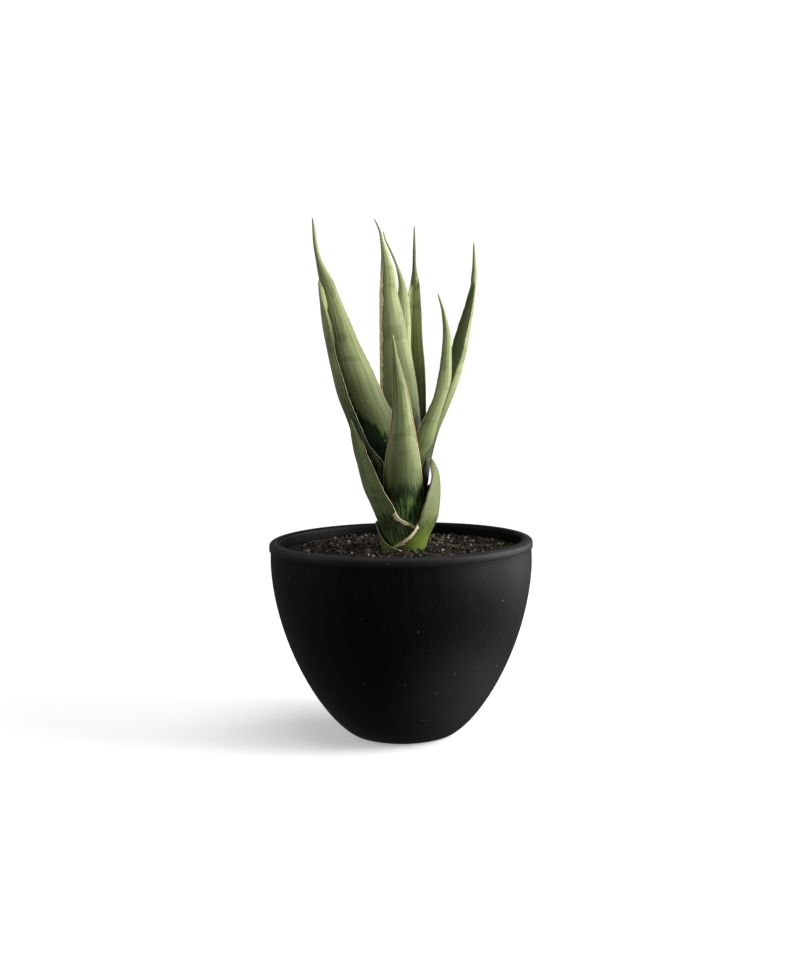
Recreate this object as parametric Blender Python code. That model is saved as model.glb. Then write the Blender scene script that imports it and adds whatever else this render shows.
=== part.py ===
"""Snake plant in a turned black bowl pot.

The plant is a tight rosette of eleven leaves round a short crown. The outer leaves clasp the base like
sheaths, the inner ones are gutters that close into a round needle at the tip. Each leaf is a stack of
level arcs: every station gives the height above the soil, the arc's centre and radius, and the bearings
of its two margins (0 is +X, 90 is to the back, -90 is to the front).

Units: driving sizes in millimetres, written to the scene in metres. Frame: +Z up, origin at the centre of
the pot's resting face, front of the plant towards -Y.
"""

import math
from dataclasses import dataclass

import bmesh
import bpy
from mathutils import Vector

MM = 0.001

# ---------------------------------------------------------------- driving sizes, millimetres
POT_HEIGHT = 90.0          # resting face to the top of the lip
POT_BODY_RADIUS = 59.7     # widest part of the bowl, just under the lip
POT_FOOT_RADIUS = 22.5     # flat resting face
POT_WALL = 3.6             # wall of the bowl
POT_FLOOR = 4.5            # floor of the bowl
SHOULDER_DROP = 10.0       # lip top down to where the bowl's side stands upright
BOWL_FULLNESS = 1.75       # 1 is a straight side, 2 a round one
HEEL_FULLNESS = 0.73       # below 1 rounds the heel out quickly above the foot
HEEL_HEIGHT = 9.0          # stretch above the foot that gets extra rings
LIP_HEIGHT = 3.4           # rolled lip
LIP_PROUD = 0.5            # how far the lip stands outside the body
LIP_WIDTH = 5.2            # outer to inner edge of the lip

SOIL_DROP = 4.9            # lip top down to the soil at the wall
SOIL_MOUND = 1.0           # how much the soil rises towards the stem
FIT_GAP = 0.35             # between pieces that touch

PLANT_X = 1.95             # stem centre from the pot's axis
PLANT_Y = -1.0
PLANT_SCALE = 1.0          # size of the whole rosette
LEAF_THICKNESS = 1.25      # at the keel of a leaf
MARGIN_THICKNESS = 0.6     # at the edge of a leaf
NEEDLE_BLEND = 9.0         # length over which the gutter closes into the needle
DRAWN_THICKNESS = 1.25     # thickness that the leaf stations were drawn for
SOCKET_CLEARANCE = 1.5     # thickest sheath or rhizome to the wall of the hole that they stand in
RHIZOME_DEPTH = 22.0       # rhizome below the soil surface
RHIZOME_RADIUS = 8.2       # its thickest part
CROWN_ROOM = 5.85          # radius that the crown's neck and the first leaf round it share
CROWN_RISE = 8.0           # top of the crown above the soil surface

# ---------------------------------------------------------------- mesh resolution
POT_STEPS = 64
SOIL_STEPS = 48
RHIZOME_STEPS = 24
BOWL_RINGS = 8
LEAF_ROWS = 20
LEAF_COLUMNS = 9

SOIL_LEVEL = POT_HEIGHT - SOIL_DROP + 0.4    # height that leaf stations are measured from


@dataclass
class Leaf:
    """A leaf: where its gutter has closed into the needle, how fleshy it is, its colour and its stations.

    A station is (height, centre x, centre y, radius, bearing of one margin, bearing of the other). A nested
    leaf draws in at its foot as the leaf round it gets thicker.
    """

    needle: float
    flesh: float
    colour: tuple
    stations: list
    nested: bool = False


LEAVES = {
    "leaf_basal_scale": Leaf(24.0, 0.5, (0.16, 0.22, 0.06), [
        (-1.6, -0.5, -0.9, 10.4, -258, -88),
        (0.5, -0.5, -0.9, 10.7, -256, -95),
        (2.5, -0.5, -0.7, 11.0, -255, -128),
        (5.0, -0.5, -0.5, 11.6, -240, -148),
        (8.0, -0.6, -0.4, 12.2, -222, -160),
        (11.0, -0.8, -0.4, 12.5, -204, -168),
        (13.0, -0.9, -0.4, 12.7, -190, -177),
    ]),
    "leaf_clasp_right": Leaf(41.5, 0.9, (0.22, 0.31, 0.09), [
        (-1.8, 0.5, -0.6, 8.5, -151, 118),
        (0.0, 0.5, -0.6, 8.8, -151, 116),
        (3.7, 0.0, -0.7, 10.4, -106, 86),
        (7.2, -0.1, -0.6, 12.0, -80, 78),
        (13.4, 1.0, -0.6, 14.0, -68, 72),
        (20.2, 1.2, -0.6, 15.0, -60, 68),
        (26.9, 3.6, -1.0, 13.0, -56, 60),
        (33.9, 7.1, -1.6, 9.0, -50, 12),
        (38.5, 9.6, -2.6, 5.0, -46, 0),
        (41.4, 12.2, -3.8, 0.8, -55, 5),
    ]),
    "leaf_clasp_left": Leaf(64.0, 0.9, (0.15, 0.22, 0.09), [
        (-1.4, 0.3, -0.4, 6.9, -275, -50),
        (2.5, -0.5, -0.4, 8.3, -270, -50),
        (8.1, -0.9, -0.4, 10.1, -262, -53),
        (11.5, -0.9, -0.4, 11.2, -248, -62),
        (15.3, -0.7, -0.4, 12.8, -232, -97),
        (21.5, -2.5, -0.5, 13.5, -215, -103),
        (27.5, -6.0, -1.0, 12.5, -205, -105),
        (34.2, -9.7, -1.8, 10.5, -200, -104),
        (39.7, -12.4, -2.5, 9.0, -196, -104),
        (44.5, -15.4, -3.4, 7.2, -196, -100),
        (50.4, -20.0, -5.3, 3.5, -190, -76),
        (54.4, -21.7, -6.5, 2.2, -184, -72),
        (60.3, -23.6, -8.4, 0.3, -184, -72),
    ]),
    "leaf_front": Leaf(91.0, 1.0, (0.26, 0.34, 0.19), [
        (-1.0, 0.2, -0.3, 5.6, -198, 22),
        (1.0, 0.2, -0.3, 6.1, -198, 22),
        (5.0, 0.0, -0.5, 7.6, -190, 14),
        (10.0, -0.3, -0.9, 9.0, -180, 4),
        (15.0, -0.4, -1.2, 9.6, -169, -6),
        (26.4, -0.6, -3.5, 9.6, -164, -12),
        (41.4, -0.7, -6.9, 8.6, -156, -20),
        (55.4, -0.5, -11.3, 6.5, -148, -28),
        (64.1, -0.7, -13.8, 5.2, -146, -30),
        (73.4, -1.3, -16.3, 3.9, -146, -30),
        (81.9, -2.3, -18.8, 2.4, -150, -26),
        (87.3, -3.0, -20.5, 1.4, -158, -18),
        (91.8, -3.5, -21.4, 0.8, -173, -3),
        (97.2, -4.0, -22.5, 0.25, -173, -3),
    ]),
    "leaf_left_outer": Leaf(113.0, 1.0, (0.09, 0.12, 0.06), [
        (3.0, -0.2, 0.0, 5.2, -235, -100),
        (5.0, -0.6, 0.1, 5.7, -234, -102),
        (15.0, -2.2, 0.8, 6.5, -210, -115),
        (28.0, -8.0, 2.8, 7.5, -212, -98),
        (34.0, -9.8, 2.0, 7.4, -225, -86),
        (40.3, -11.7, 0.6, 7.5, -235, -71),
        (44.5, -14.2, 0.0, 6.8, -240, -78),
        (49.2, -17.1, -1.9, 5.5, -243, -78),
        (58.2, -20.2, -2.8, 4.9, -240, -84),
        (69.9, -24.4, -3.1, 5.0, -243, -88),
        (78.9, -26.6, -3.6, 4.9, -243, -92),
        (89.3, -29.4, -4.3, 4.1, -243, -94),
        (99.6, -31.4, -5.2, 3.9, -238, -80),
        (106.5, -33.5, -6.7, 2.5, -235, -66),
        (111.9, -34.9, -8.0, 1.4, -247, -60),
        (117.4, -35.8, -8.4, 0.9, -257, -60),
        (121.8, -36.5, -8.6, 0.25, -257, -60),
    ]),
    "leaf_left_tall": Leaf(133.0, 1.0, (0.19, 0.25, 0.12), [
        (6.5, -0.6, 0.2, 4.4, -195, -70),
        (15.0, -1.8, 0.8, 5.1, -192, -60),
        (28.0, -4.8, 2.0, 6.0, -186, -45),
        (34.0, -6.0, 2.5, 7.0, -184, -42),
        (40.0, -7.2, 2.5, 8.0, -180, -38),
        (49.9, -10.6, 1.7, 9.9, -170, -27),
        (58.5, -12.2, 2.7, 10.9, -164, -31),
        (68.3, -16.0, 2.3, 10.4, -161, -38),
        (76.5, -18.7, 2.1, 10.3, -156, -42),
        (86.0, -22.0, 1.4, 9.6, -150, -45),
        (92.2, -24.3, 0.5, 8.6, -147, -45),
        (103.2, -27.9, -0.4, 7.3, -137, -45),
        (109.0, -29.6, -1.1, 6.2, -131, -45),
        (113.9, -31.0, -2.0, 5.4, -136, -45),
        (121.4, -32.9, -4.0, 3.9, -158, -42),
        (127.2, -35.1, -5.7, 2.3, -166, -34),
        (131.5, -36.5, -6.6, 1.4, -175, -25),
        (138.1, -37.7, -7.0, 1.0, -185, -15),
        (144.6, -38.2, -7.3, 0.7, -185, -15),
        (149.4, -38.7, -7.8, 0.25, -185, -15),
    ], nested=True),
    "leaf_right_short": Leaf(104.0, 1.0, (0.28, 0.36, 0.21), [
        (4.0, 0.5, -0.3, 5.1, -95, -22),
        (15.0, 1.8, -1.0, 5.6, -105, -30),
        (28.0, 2.4, -3.4, 4.5, -120, -20),
        (40.2, 4.3, -4.2, 5.0, -120, -10),
        (49.7, 7.5, -4.2, 6.3, -120, 4),
        (56.8, 10.2, -5.5, 5.3, -120, 6),
        (67.9, 15.1, -6.8, 4.1, -120, 8),
        (75.0, 17.2, -6.5, 4.3, -120, 10),
        (80.4, 18.2, -6.8, 3.9, -122, 10),
        (88.8, 19.2, -7.4, 3.0, -126, 10),
        (97.3, 19.6, -8.1, 2.2, -132, 12),
        (102.0, 19.3, -8.8, 1.4, -138, 18),
        (107.2, 18.5, -9.4, 0.8, -145, 25),
        (115.2, 16.2, -9.9, 0.25, -145, 25),
    ]),
    "leaf_right_tall": Leaf(123.0, 1.0, (0.24, 0.32, 0.17), [
        (6.5, 0.6, 0.4, 4.5, -12, 24),
        (15.0, 2.2, 1.5, 5.6, -20, 20),
        (28.8, 3.8, 2.0, 7.0, -58, 46),
        (39.8, 5.6, 2.5, 7.0, -62, 42),
        (52.9, 9.1, 2.5, 7.0, -58, 52),
        (62.8, 14.4, 1.5, 6.0, -55, 80),
        (74.7, 20.6, 0.0, 4.6, -72, 105),
        (86.7, 23.8, -0.8, 4.8, -55, 115),
        (93.5, 25.4, -1.6, 4.5, -50, 120),
        (100.7, 27.4, -1.8, 3.7, -47, 123),
        (107.5, 29.5, -1.9, 2.9, -43, 127),
        (114.5, 31.3, -2.0, 2.1, -43, 133),
        (120.2, 32.5, -2.0, 1.4, -43, 133),
        (126.4, 33.0, -1.7, 1.0, -40, 130),
        (138.0, 32.9, -1.2, 0.25, -40, 130),
    ]),
    "leaf_centre_tall": Leaf(138.0, 1.0, (0.22, 0.29, 0.15), [
        (9.0, -0.1, 1.0, 2.1, -160, -20),
        (15.0, -0.3, 2.8, 3.2, -155, -18),
        (28.0, -0.5, 5.5, 5.0, -155, -15),
        (38.0, -0.9, 8.6, 7.8, -152, -18),
        (49.6, -1.4, 11.6, 10.4, -150, -20),
        (67.9, -1.9, 10.6, 9.8, -150, -20),
        (81.6, -2.8, 9.9, 9.2, -145, -25),
        (90.2, -3.8, 8.7, 7.9, -145, -25),
        (104.6, -4.7, 7.6, 6.6, -145, -25),
        (115.4, -5.8, 6.4, 4.9, -147, -23),
        (125.7, -6.1, 5.6, 3.6, -153, -17),
        (133.1, -7.0, 4.5, 2.0, -160, -10),
        (139.4, -8.2, 3.9, 0.9, -170, 0),
        (144.3, -9.2, 3.7, 0.6, -170, 0),
        (149.8, -11.7, 3.7, 0.25, -170, 0),
    ]),
    "leaf_centre_slim": Leaf(126.0, 1.0, (0.26, 0.34, 0.20), [
        (10.0, -0.2, 3.2, 1.7, -150, -30),
        (15.0, -0.3, 5.0, 3.0, -145, -30),
        (28.0, -0.5, 8.5, 5.0, -140, -22),
        (38.0, -0.6, 10.9, 6.2, -136, -24),
        (49.2, -0.7, 12.9, 7.2, -132, -24),
        (67.5, -0.4, 14.1, 7.3, -130, -20),
        (81.5, -0.5, 14.1, 6.5, -130, -20),
        (90.2, -0.7, 13.7, 5.4, -130, -20),
        (104.7, 0.0, 13.5, 4.6, -130, -20),
        (114.5, 0.4, 12.7, 3.3, -133, -17),
        (120.4, 0.3, 11.8, 1.9, -140, -10),
        (127.3, -1.2, 11.2, 0.8, -155, 5),
        (132.3, -3.0, 11.3, 0.6, -160, 10),
        (136.9, -5.0, 11.5, 0.55, -160, 10),
        (140.5, -6.7, 11.4, 0.4, -160, 10),
        (144.8, -7.7, 11.2, 0.25, -160, 10),
    ]),
    "leaf_back": Leaf(126.0, 1.0, (0.10, 0.15, 0.05), [
        (5.0, 0.2, 0.6, 5.2, 30, 120),
        (15.0, 0.3, 3.4, 5.0, 15, 145),
        (28.0, 1.2, 5.6, 5.5, 8, 150),
        (38.0, 2.2, 6.6, 6.5, 6, 148),
        (48.6, 3.0, 8.1, 7.3, 5, 146),
        (67.2, 4.1, 10.1, 6.9, 10, 146),
        (83.0, 4.8, 11.9, 6.0, 14, 146),
        (95.0, 5.3, 14.0, 4.6, 14, 146),
        (108.8, 5.8, 15.4, 3.7, 12, 148),
        (116.2, 6.0, 16.3, 3.1, 10, 150),
        (120.8, 6.4, 17.2, 2.4, 5, 155),
        (127.3, 6.4, 18.9, 1.1, -5, 165),
        (136.5, 6.5, 19.5, 0.7, -5, 165),
        (147.8, 6.7, 20.3, 0.25, -5, 165),
    ]),
}

# ---------------------------------------------------------------- helpers
def clear_scene():
    for old in list(bpy.data.objects):
        bpy.data.objects.remove(old, do_unlink=True)


def material(name, colour, roughness, metallic=0.0):
    made = bpy.data.materials.new(name)
    made.use_nodes = True
    shader = made.node_tree.nodes["Principled BSDF"]
    shader.inputs["Base Color"].default_value = (*colour, 1.0)
    shader.inputs["Roughness"].default_value = roughness
    shader.inputs["Metallic"].default_value = metallic
    return made


def add_object(name, bm, finish, sharp_angle=35.0):
    bmesh.ops.recalc_face_normals(bm, faces=bm.faces)
    mesh = bpy.data.meshes.new(name)
    bm.to_mesh(mesh)
    bm.free()
    mesh.materials.append(finish)
    mesh.shade_smooth()
    mesh.set_sharp_from_angle(angle=math.radians(sharp_angle))
    made = bpy.data.objects.new(name, mesh)
    bpy.context.scene.collection.objects.link(made)
    return made


def turned(name, profile, steps, finish, centre=(0.0, 0.0)):
    """A solid of revolution. The profile is (radius, height) from the axis round to the axis again."""
    bm = bmesh.new()
    points = [bm.verts.new((radius * MM, 0.0, height * MM)) for radius, height in profile]
    edges = [bm.edges.new(pair) for pair in zip(points, points[1:])]
    bmesh.ops.spin(bm, geom=points + edges, axis=(0, 0, 1), cent=(0, 0, 0), angle=math.tau,
                   steps=steps, use_merge=True, use_duplicate=False)
    bmesh.ops.remove_doubles(bm, verts=bm.verts, dist=1e-6)
    bmesh.ops.translate(bm, verts=bm.verts, vec=(centre[0] * MM, centre[1] * MM, 0.0))
    return add_object(name, bm, finish)


def eased(value):
    """0 to 1 with level ends."""
    value = min(max(value, 0.0), 1.0)
    return value * value * (3.0 - 2.0 * value)


def curve_through(heights, values, height):
    """A smooth curve through the stations, read at one height."""
    last = len(heights) - 1
    span = max(k for k in range(last) if heights[k] <= height or k == 0)

    def slope(k):
        low, high = max(k - 1, 0), min(k + 1, last)
        return (values[high] - values[low]) / (heights[high] - heights[low])

    length = heights[span + 1] - heights[span]
    t = (height - heights[span]) / length
    start, end = values[span], values[span + 1]
    rise_start, rise_end = slope(span) * length, slope(span + 1) * length
    return ((2 * t ** 3 - 3 * t ** 2 + 1) * start + (t ** 3 - 2 * t ** 2 + t) * rise_start
            + (3 * t ** 2 - 2 * t ** 3) * end + (t ** 3 - t ** 2) * rise_end)


# ---------------------------------------------------------------- pot
def bowl_radius(height):
    """Outer radius of the bowl: a flat foot, a rounded heel and a full side that ends upright."""
    rise = min(max(height / (POT_HEIGHT - SHOULDER_DROP), 0.0), 1.0)
    spread = (1.0 - (1.0 - rise) ** BOWL_FULLNESS) ** HEEL_FULLNESS
    return POT_FOOT_RADIUS + (POT_BODY_RADIUS - POT_FOOT_RADIUS) * spread


def pot_profile():
    lip_base = POT_HEIGHT - LIP_HEIGHT
    lip_outer = POT_BODY_RADIUS + LIP_PROUD
    lip_inner = lip_outer - LIP_WIDTH
    outer = [(0.0, 0.0), (POT_FOOT_RADIUS, 0.0)]
    heights = [HEEL_HEIGHT * share for share in (0.08, 0.22, 0.5, 1.0)]
    heights += [HEEL_HEIGHT + (lip_base - HEEL_HEIGHT) * k / BOWL_RINGS for k in range(1, BOWL_RINGS + 1)]
    outer += [(bowl_radius(height), height) for height in heights]
    lip = [
        (lip_outer, lip_base + 0.35),
        (lip_outer, POT_HEIGHT - 1.3),
        (lip_outer - 0.8, POT_HEIGHT - 0.25),
        (lip_outer - 2.2, POT_HEIGHT),
        (lip_inner + 1.3, POT_HEIGHT - 0.25),
        (lip_inner, POT_HEIGHT - 1.6),
        (lip_inner, lip_base - 1.0),
    ]
    inner = [(bowl_radius(height) - POT_WALL, height) for height in reversed(heights[3:-1])]
    inner += [(bowl_radius(POT_FLOOR) - POT_WALL, POT_FLOOR), (0.0, POT_FLOOR)]
    return outer + lip + inner


def build_pot(finish):
    turned("pot", pot_profile(), POT_STEPS, finish)


# ---------------------------------------------------------------- soil and rhizome
def soil_top(radius):
    """Height of the soil surface at a radius from the pot's axis."""
    edge = POT_HEIGHT - SOIL_DROP
    return edge + SOIL_MOUND * (1.0 - eased(radius / 40.0))


def socket_radius():
    """Radius of the hole in the soil: it clears the sheaths where they enter and the rhizome under them."""
    sheaths = [station[3] for leaf in LEAVES.values() for station in leaf.stations if station[0] < 1.5]
    return max(sheaths + [RHIZOME_RADIUS]) + SOCKET_CLEARANCE


def build_soil(finish):
    """Soil that follows the inside of the pot, with a socket for the sheaths and the rhizome."""
    edge = POT_HEIGHT - SOIL_DROP
    lip_inner = POT_BODY_RADIUS + LIP_PROUD - LIP_WIDTH
    inside = pot_profile()[-(BOWL_RINGS + 2):-1]
    wall = [(radius - FIT_GAP, height) for radius, height in reversed(inside) if height < edge - 6.0]
    foot_radius, foot_height = wall[0]
    profile = [(0.0, foot_height + FIT_GAP), (foot_radius - FIT_GAP, foot_height + FIT_GAP)] + wall[1:]
    profile += [(lip_inner - FIT_GAP, edge)]
    profile += [(lip_inner * share, soil_top(lip_inner * share)) for share in (0.85, 0.62, 0.4)]
    socket = socket_radius() * PLANT_SCALE
    reach = socket + math.hypot(PLANT_X, PLANT_Y) + 1.0
    profile += [(reach, soil_top(reach)), (0.0, soil_top(0.0))]
    body = turned("soil", profile, SOIL_STEPS, finish)
    socket_floor = SOIL_LEVEL - RHIZOME_DEPTH * PLANT_SCALE - FIT_GAP
    cutter_profile = [(0.0, socket_floor), (socket, socket_floor), (socket, POT_HEIGHT + 10.0),
                      (0.0, POT_HEIGHT + 10.0)]
    cutter = turned("soil_socket_cutter", cutter_profile, RHIZOME_STEPS, finish, (PLANT_X, PLANT_Y))
    cutter.hide_render = True
    cutter.display_type = "WIRE"
    cut = body.modifiers.new("socket", "BOOLEAN")
    cut.operation = "DIFFERENCE"
    cut.object = cutter
    cut.solver = "EXACT"


def build_rhizome(finish):
    """The short rhizome in the soil and the cone of the crown that the leaves rise from."""
    deep = -RHIZOME_DEPTH
    neck = CROWN_ROOM - LEAF_THICKNESS
    levels = [
        (0.0, deep),
        (RHIZOME_RADIUS * 0.62, deep),
        (RHIZOME_RADIUS * 0.92, deep + 3.0),
        (RHIZOME_RADIUS, deep * 0.55),
        (RHIZOME_RADIUS * 0.86, -5.0),
        (neck, -2.4),
        (neck - 0.4, 1.0),
        (neck - 1.3, 5.0),
        (neck - 2.4, CROWN_RISE - 0.7),
        (1.2, CROWN_RISE),
        (0.0, CROWN_RISE),
    ]
    profile = [(radius * PLANT_SCALE, SOIL_LEVEL + height * PLANT_SCALE) for radius, height in levels]
    turned("rhizome", profile, RHIZOME_STEPS, finish, (PLANT_X, PLANT_Y))


# ---------------------------------------------------------------- leaves
def leaf_section(leaf, height, columns):
    """The outer and the inner line of a leaf at one height, as lists of points from margin to margin."""
    heights = [station[0] for station in leaf.stations]
    x, y, radius, start, end = (curve_through(heights, [station[k] for station in leaf.stations], height)
                                for k in range(1, 6))
    middle = math.radians((start + end) / 2)
    wrap = math.radians((end - start) / 2)
    facing = Vector((math.cos(middle), math.sin(middle)))
    centre = Vector((x, y))
    if leaf.nested:
        radius -= (LEAF_THICKNESS - DRAWN_THICKNESS) * (1.0 - eased((height - 15.0) / 30.0))
    closing = eased((height - leaf.needle + NEEDLE_BLEND) / NEEDLE_BLEND)
    keel = min(LEAF_THICKNESS * leaf.flesh, 0.75 * radius)
    edge = min(MARGIN_THICKNESS, 0.8 * keel)
    outer, inner = [], []
    for column in range(columns + 1):
        across = 2.0 * column / columns - 1.0
        bearing = middle + wrap * across
        away = Vector((math.cos(bearing), math.sin(bearing)))
        skin = centre + away * radius
        thickness = edge + (keel - edge) * (1.0 - across * across)
        gutter = skin - away * thickness
        depth = 2.0 * radius * (math.cos(wrap * across) - math.cos(wrap))
        round_back = skin - facing * (depth + 0.3 * radius)
        outer.append(skin)
        inner.append(gutter.lerp(round_back, closing))
    return outer, inner


def build_leaf(name, leaf):
    low, high = leaf.stations[0][0], leaf.stations[-1][0]
    bm = bmesh.new()
    loops = []
    for row in range(LEAF_ROWS + 1):
        height = low + (high - low) * row / LEAF_ROWS
        outer, inner = leaf_section(leaf, height, LEAF_COLUMNS)
        ring = outer + list(reversed(inner))
        z = SOIL_LEVEL + height * PLANT_SCALE
        loops.append([bm.verts.new(((PLANT_X + point.x * PLANT_SCALE) * MM,
                                    (PLANT_Y + point.y * PLANT_SCALE) * MM, z * MM)) for point in ring])
    count = len(loops[0])
    for below, above in zip(loops, loops[1:]):
        for k in range(count):
            after = (k + 1) % count
            bm.faces.new((below[k], below[after], above[after], above[k]))
    columns = LEAF_COLUMNS + 1
    for loop, tip in ((loops[0], False), (loops[-1], True)):
        outer, inner = loop[:columns], list(reversed(loop[columns:]))
        for k in range(LEAF_COLUMNS):
            corners = (outer[k], inner[k], inner[k + 1], outer[k + 1])
            bm.faces.new(corners if not tip else tuple(reversed(corners)))
    bmesh.ops.triangulate(bm, faces=bm.faces)
    add_object(name, bm, material(name + "_green", leaf.colour, 0.45), sharp_angle=60.0)


def build_leaves():
    for name, leaf in LEAVES.items():
        build_leaf(name, leaf)


def main():
    clear_scene()
    build_pot(material("pot_black", (0.012, 0.012, 0.013), 0.5))
    build_soil(material("soil_brown", (0.045, 0.032, 0.022), 0.95))
    build_rhizome(material("rhizome_orange", (0.45, 0.25, 0.10), 0.7))
    build_leaves()


main()
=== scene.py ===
"""Looks of a potted snake plant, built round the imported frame.

Eleven stiff leaves stand in a tight rosette in a black turned bowl of dark potting mix. Leaves are made from
the same level arcs as the frame's leaves, with ribbed skins, horny margins and pointed needles. Everything is
in metres in the frame's own place, and helper sizes are given in millimetres.
"""

import logging
import math
from dataclasses import dataclass, field
from enum import Enum

import bpy
import numpy as np
from mathutils import Matrix, Vector, noise


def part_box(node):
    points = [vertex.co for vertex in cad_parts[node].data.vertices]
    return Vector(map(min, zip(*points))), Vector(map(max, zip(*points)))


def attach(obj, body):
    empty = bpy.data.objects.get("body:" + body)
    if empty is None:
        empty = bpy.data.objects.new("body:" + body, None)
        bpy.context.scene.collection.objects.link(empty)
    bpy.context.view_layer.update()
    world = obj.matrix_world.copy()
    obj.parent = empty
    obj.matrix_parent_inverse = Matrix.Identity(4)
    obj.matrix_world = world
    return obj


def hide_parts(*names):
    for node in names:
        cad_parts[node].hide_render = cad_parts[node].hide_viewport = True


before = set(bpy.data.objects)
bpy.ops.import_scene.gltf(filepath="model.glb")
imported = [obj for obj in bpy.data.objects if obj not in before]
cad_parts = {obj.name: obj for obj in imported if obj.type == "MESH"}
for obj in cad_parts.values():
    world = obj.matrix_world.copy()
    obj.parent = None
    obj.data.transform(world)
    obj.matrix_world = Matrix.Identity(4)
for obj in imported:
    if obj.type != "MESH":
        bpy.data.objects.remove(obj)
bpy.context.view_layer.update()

MM = 0.001
CROWN_RISE = 8.0           # the crown's top above the level that leaf heights are measured from
LEAF_THICKNESS = 1.25      # at the keel of a leaf
MARGIN_THICKNESS = 0.6     # at the edge of a leaf
NEEDLE_BLEND = 9.0         # length over which a gutter closes into the needle
PATTERN_SHIFT = 17.3       # how far apart the patterns of two leaves in a row are read
HUB = 2.0                  # radius of the small ring that a turned skin starts and ends with
BEAD_ANGLES = (30.0, 60.0, 90.0, 120.0, 150.0)    # where the points of a leaf's rounded margin lie
BEAD_INNER = (0.0, 0.2, 0.5, 0.8, 1.0)            # how far each of those points is on the inner side
BEAD_RIM = -0.1            # their distance from the margin
LOG = logging.getLogger("snake_plant")

Colour = tuple[float, float, float]
Place = tuple[float, float, float]
Profile = list[tuple[float, float]]


# ---------------------------------------------------------------- shader maths
class Wire:
    """A shader socket that takes part in Python expressions."""

    def __init__(self, bench: "Bench", socket: bpy.types.NodeSocket) -> None:
        """Keeps the socket and the bench it belongs to."""
        self.bench = bench
        self.socket = socket

    def _math(self, operation: str, first: "Wire | float", second: "Wire | float") -> "Wire":
        """Adds one Math node."""
        made = self.bench.node("ShaderNodeMath", {"operation": operation}, {0: first, 1: second})
        return Wire(self.bench, made.outputs[0])

    def __add__(self, other: "Wire | float") -> "Wire":
        """self + other."""
        return self._math("ADD", self, other)

    def __radd__(self, other: float) -> "Wire":
        """other + self."""
        return self._math("ADD", other, self)

    def __sub__(self, other: "Wire | float") -> "Wire":
        """self - other."""
        return self._math("SUBTRACT", self, other)

    def __rsub__(self, other: float) -> "Wire":
        """other - self."""
        return self._math("SUBTRACT", other, self)

    def __mul__(self, other: "Wire | float") -> "Wire":
        """self * other."""
        return self._math("MULTIPLY", self, other)

    def __rmul__(self, other: float) -> "Wire":
        """other * self."""
        return self._math("MULTIPLY", other, self)

    def __pow__(self, other: float) -> "Wire":
        """self to a power."""
        return self._math("POWER", self, other)

    def size(self) -> "Wire":
        """The value without its sign."""
        return self._math("ABSOLUTE", self, 0.0)

    def smooth(self, low: "Wire | float", high: "Wire | float") -> "Wire":
        """Rises softly from 0 at low to 1 at high.

        Args:
            low: value where the rise starts.
            high: value where it ends.

        Returns:
            The eased value, held between 0 and 1.
        """
        made = self.bench.node("ShaderNodeMapRange", {"interpolation_type": "SMOOTHSTEP"},
                               {"Value": self, "From Min": low, "From Max": high})
        return Wire(self.bench, made.outputs[0])

    def bell(self, middle: float, reach: float) -> "Wire":
        """1 at middle, falling softly to 0 at reach either side."""
        return 1.0 - (self - middle).size().smooth(0.0, reach)


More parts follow.
